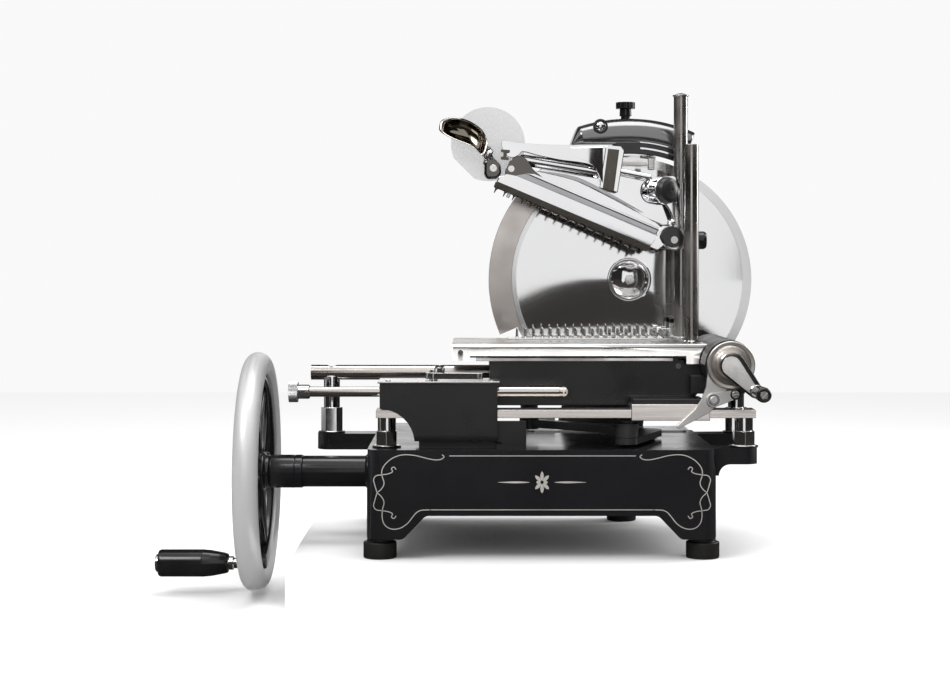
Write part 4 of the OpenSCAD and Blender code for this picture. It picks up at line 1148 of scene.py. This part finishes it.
# Left scroll of the painted line: half of the outline and of its inner curl, in X and Z.
SCROLL = [(-97, 102.5), (-95, 100.5), (-98, 98), (-104, 97.5), (-112, 99), (-122, 101.5),
          (-132, 102.5), (-140, 101.3), (-147.5, 97.5), (-153, 92), (-155.3, 87), (-155.2, 82),
          (-153.2, 75), (-155.5, 69.5), (-160, 65.6)]
SCROLL_LOW = [(-160, 65.6), (-155.5, 61.5), (-153.2, 56), (-154.8, 49), (-155, 42), (-153.5, 36),
              (-149.5, 31.8), (-143.5, 30.2), (-136.8, 31.6), (-130.5, 35.8), (-125.5, 42),
              (-121.5, 46.5), (-117, 48.6), (-109, 49)]
CURL = [(-141.5, 88), (-143.5, 90.5), (-146, 89), (-145, 86), (-149, 84), (-155.2, 83),
        (-161, 82), (-163.3, 78.2), (-162.3, 73.5), (-160, 65.6)]


def ribbon(name, points, width, taper=False):
    """Painted line on the front face: a flat strip that follows a smooth path."""
    path = flowing([(p[0], 0, p[1]) for p in points], closed=False, steps=6)
    bm = bmesh.new()
    rails = []
    for i, p in enumerate(path):
        along = (path[min(i + 1, len(path) - 1)] - path[max(i - 1, 0)]).normalized()
        side = Vector((-along.z, 0, along.x))
        share = math.sin(math.pi * (i + 0.5) / len(path)) if taper else 1
        half = width / 2 * share
        rails.append(loop_of(bm, [(q.x, y, q.z) for q in (p - side * half, p + side * half)
                                  for y in (FRONT - 0.12, FRONT + 0.1)]))
    for one, two in zip(rails, rails[1:]):
        for a, b in ((0, 1), (1, 3), (3, 2), (2, 0)):
            bm.faces.new((one[a], one[b], two[b], two[a]))
    for end in (rails[0], rails[-1]):
        bm.faces.new([end[i] for i in (0, 1, 3, 2)])
    finish(bm, name, "frame", stripe)


def make_pinstripes():
    """Scroll border and petal flower painted on the front of the base."""
    middle_z = SCROLL_LOW[0][1]
    for side, sign in (("left", 1), ("right", -1)):
        for name, points in (("scroll", SCROLL), ("scroll_low", SCROLL_LOW), ("curl", CURL),
                             ("curl_low", [(x, 2 * middle_z - z) for x, z in CURL])):
            ribbon(f"stripe_{name}_{side}", [(x * sign, z) for x, z in points], 0.85)
        ribbon(f"stripe_lance_{side}", [(sign * x, 75.7) for x in (-43, -30, -20, -12)], 1.8,
               True)
    ribbon("stripe_top", [(-90, 101.3), (0, 101.3), (91, 101.3)], 0.75)
    ribbon("stripe_bottom", [(-108, 49), (0, 49), (108, 49)], 0.75)
    for k in range(8):
        turn = math.radians(45 * k)
        reach = 10.5 if k % 4 == 2 else 9.2 if k % 2 else 5.5
        ribbon(f"petal_{k}", [(t * math.cos(turn), 75.7 + t * math.sin(turn))
                              for t in (1.5, 1.5 + (reach - 1.5) / 2, reach)],
               3.4, True)


def make_deck_trim():
    """Black washers under the posts of both rails."""
    deck = high("base_casting").z
    for name, at in (("front_left", (-152, 12)), ("front_right", (200, 12)),
                     ("rear_left", (-218, 165)), ("rear_right", (214, 165))):
        lathe(f"post_washer_{name}", [(11.8, deck), (14.2, deck), (14.2, deck + 1.6),
                                      (11.8, deck + 1.6), (11.8, deck)], "Z", at, "frame", black,
              (), 0.3)


make_pinstripes()
make_deck_trim()

# ---- camera, floor and light ---------------------------------------------------

EYE = Vector((-0.065, -1.810, 0.2915))


def make_camera():
    """Level camera in front of the machine, its frame lowered a little by shift."""
    data = bpy.data.cameras.new("camera")
    data.lens = 70
    data.sensor_width = 36
    data.shift_y = -0.095
    data.dof.use_dof = False
    camera = bpy.data.objects.new("camera", data)
    camera.location = EYE
    camera.rotation_euler = (math.radians(90), 0, 0)
    bpy.context.scene.collection.objects.link(camera)
    bpy.context.scene.camera = camera


def stage_box(name, a, b, material):
    """A staging block between two corners in metres."""
    bm = bmesh.new()
    bmesh.ops.create_cube(bm, size=1)
    bmesh.ops.scale(bm, vec=Vector(b) - Vector(a), verts=bm.verts)
    bmesh.ops.translate(bm, vec=(Vector(a) + Vector(b)) / 2, verts=bm.verts)
    as_object(bm, name, material)


def stage_look(name, colour):
    """Matt surface of the floor, the stand or a card."""
    look = Look(name, colour, 0.0, 0.8)
    look.set("Specular IOR Level", 0.0)
    look.bump(look.noise(30, 3), 0.0001)
    return look.material


def area(name, place, aim, size, power):
    """Soft box at a place in metres, turned to what it lights."""
    light = bpy.data.lights.new(name, "AREA")
    light.shape = "RECTANGLE"
    light.size, light.size_y = size
    light.energy = power
    lamp = bpy.data.objects.new(name, light)
    lamp.location = place
    lamp.rotation_euler = (Vector(aim) - Vector(place)).to_track_quat("-Z", "Y").to_euler()
    bpy.context.scene.collection.objects.link(lamp)


def curved_card(name, start, end, bottom, top, material):
    """A dark card bent round the machine, which only reflections see. Its ends are angles
    in degrees from the front of the machine, positive towards +X. top is a height or a
    function that gives one for an angle."""
    reach = 2.5
    skyline = top if callable(top) else lambda _: top
    steps = max(2, int((end - start) / 2))
    bm = bmesh.new()
    rails = []
    for i in range(steps + 1):
        angle = start + (end - start) * i / steps
        t = math.radians(angle)
        x, y = reach * math.sin(t), 0.1 - reach * math.cos(t)
        rails.append(loop_of(bm, [(x, y, bottom), (x, y, max(skyline(angle), bottom + 0.001))]))
    for one, two in zip(rails, rails[1:]):
        bm.faces.new((one[0], two[0], two[1], one[1]))
    hide_card(name, bm, material)


def flat_card(name, a, b, height, material):
    """A level dark card that only reflections see."""
    bm = bmesh.new()
    bm.faces.new(loop_of(bm, [(a[0], a[1], height), (b[0], a[1], height), (b[0], b[1], height),
                              (a[0], b[1], height)]))
    hide_card(name, bm, material)


def hide_card(name, bm, material):
    """Makes a bmesh in metres a staging card that neither camera, light nor shadow meets."""
    card = as_object(bm, name, material)
    card.visible_camera = False
    card.visible_shadow = False
    card.visible_diffuse = False


def make_studio():
    """Pale floor and stand, a white surround, soft boxes and the dark cards round them."""
    scene = bpy.context.scene
    scene.view_settings.view_transform = "Standard"
    world = bpy.data.worlds.new("surround")
    world.use_nodes = True
    background = world.node_tree.nodes["Background"]
    background.inputs["Color"].default_value = (1, 1, 1, 1)
    background.inputs["Strength"].default_value = 0.95
    scene.world = world
    pale = stage_look("pale_floor", (0.9, 0.9, 0.9))
    dark = stage_look("dark_card", (0.02, 0.019, 0.018))
    brown = stage_look("brown_card", (0.036, 0.033, 0.031))
    floor_z = cad_low.z - 0.004
    stage_box("floor", (-3, -3, floor_z - 0.02), (3, 3, floor_z), pale)
    stage_box("stand", (-0.245, -0.06, floor_z), (0.3, 0.34, 0), pale)
    target = (0, 0.1, 0.2)
    area("key", (-0.9, -1.0, 1.5), target, (0.9, 0.6), 14)
    area("top", (0.1, 0.2, 1.7), target, (1.2, 0.9), 12)
    area("rim", (1.4, 0.6, 0.8), target, (0.4, 1.0), 10)
    horizon = 0.24

    def mound(angle):
        """Low hill in front of the blade between the level tops of the side cards."""
        if angle < -9 or angle > 16:
            return horizon
        off = min(abs(angle - 3.5) / (9 if angle < 3.5 else 12.5), 1.0)
        return 0.27 - 2.6 * math.tan(math.radians(0.5 + 6.1 * off ** 2.2))

    curved_card("card_low", -80, 80, floor_z, mound, brown)
    flat_card("card_floor", (-1.6, -2.35), (1.6, 1.5), floor_z + 0.012, brown)
    flat_card("card_stand", (-0.245, -0.06), (0.3, 0.34), 0.0008, brown)
    flat_card("card_ceiling", (-1.6, 0.5), (1.6, 2.6), 1.5, dark)
    for name, start, end in (("left", -80, -9), ("right", 16, 80)):
        curved_card(f"card_{name}", start, end, horizon, 1.5, dark)
    curved_card("card_rear_right", 80, 170, floor_z, 1.5, dark)
    curved_card("card_rear", 170, 190, floor_z, horizon, dark)
    curved_card("card_rear_left", 190, 280, floor_z, 1.5, dark)


make_camera()
make_studio()
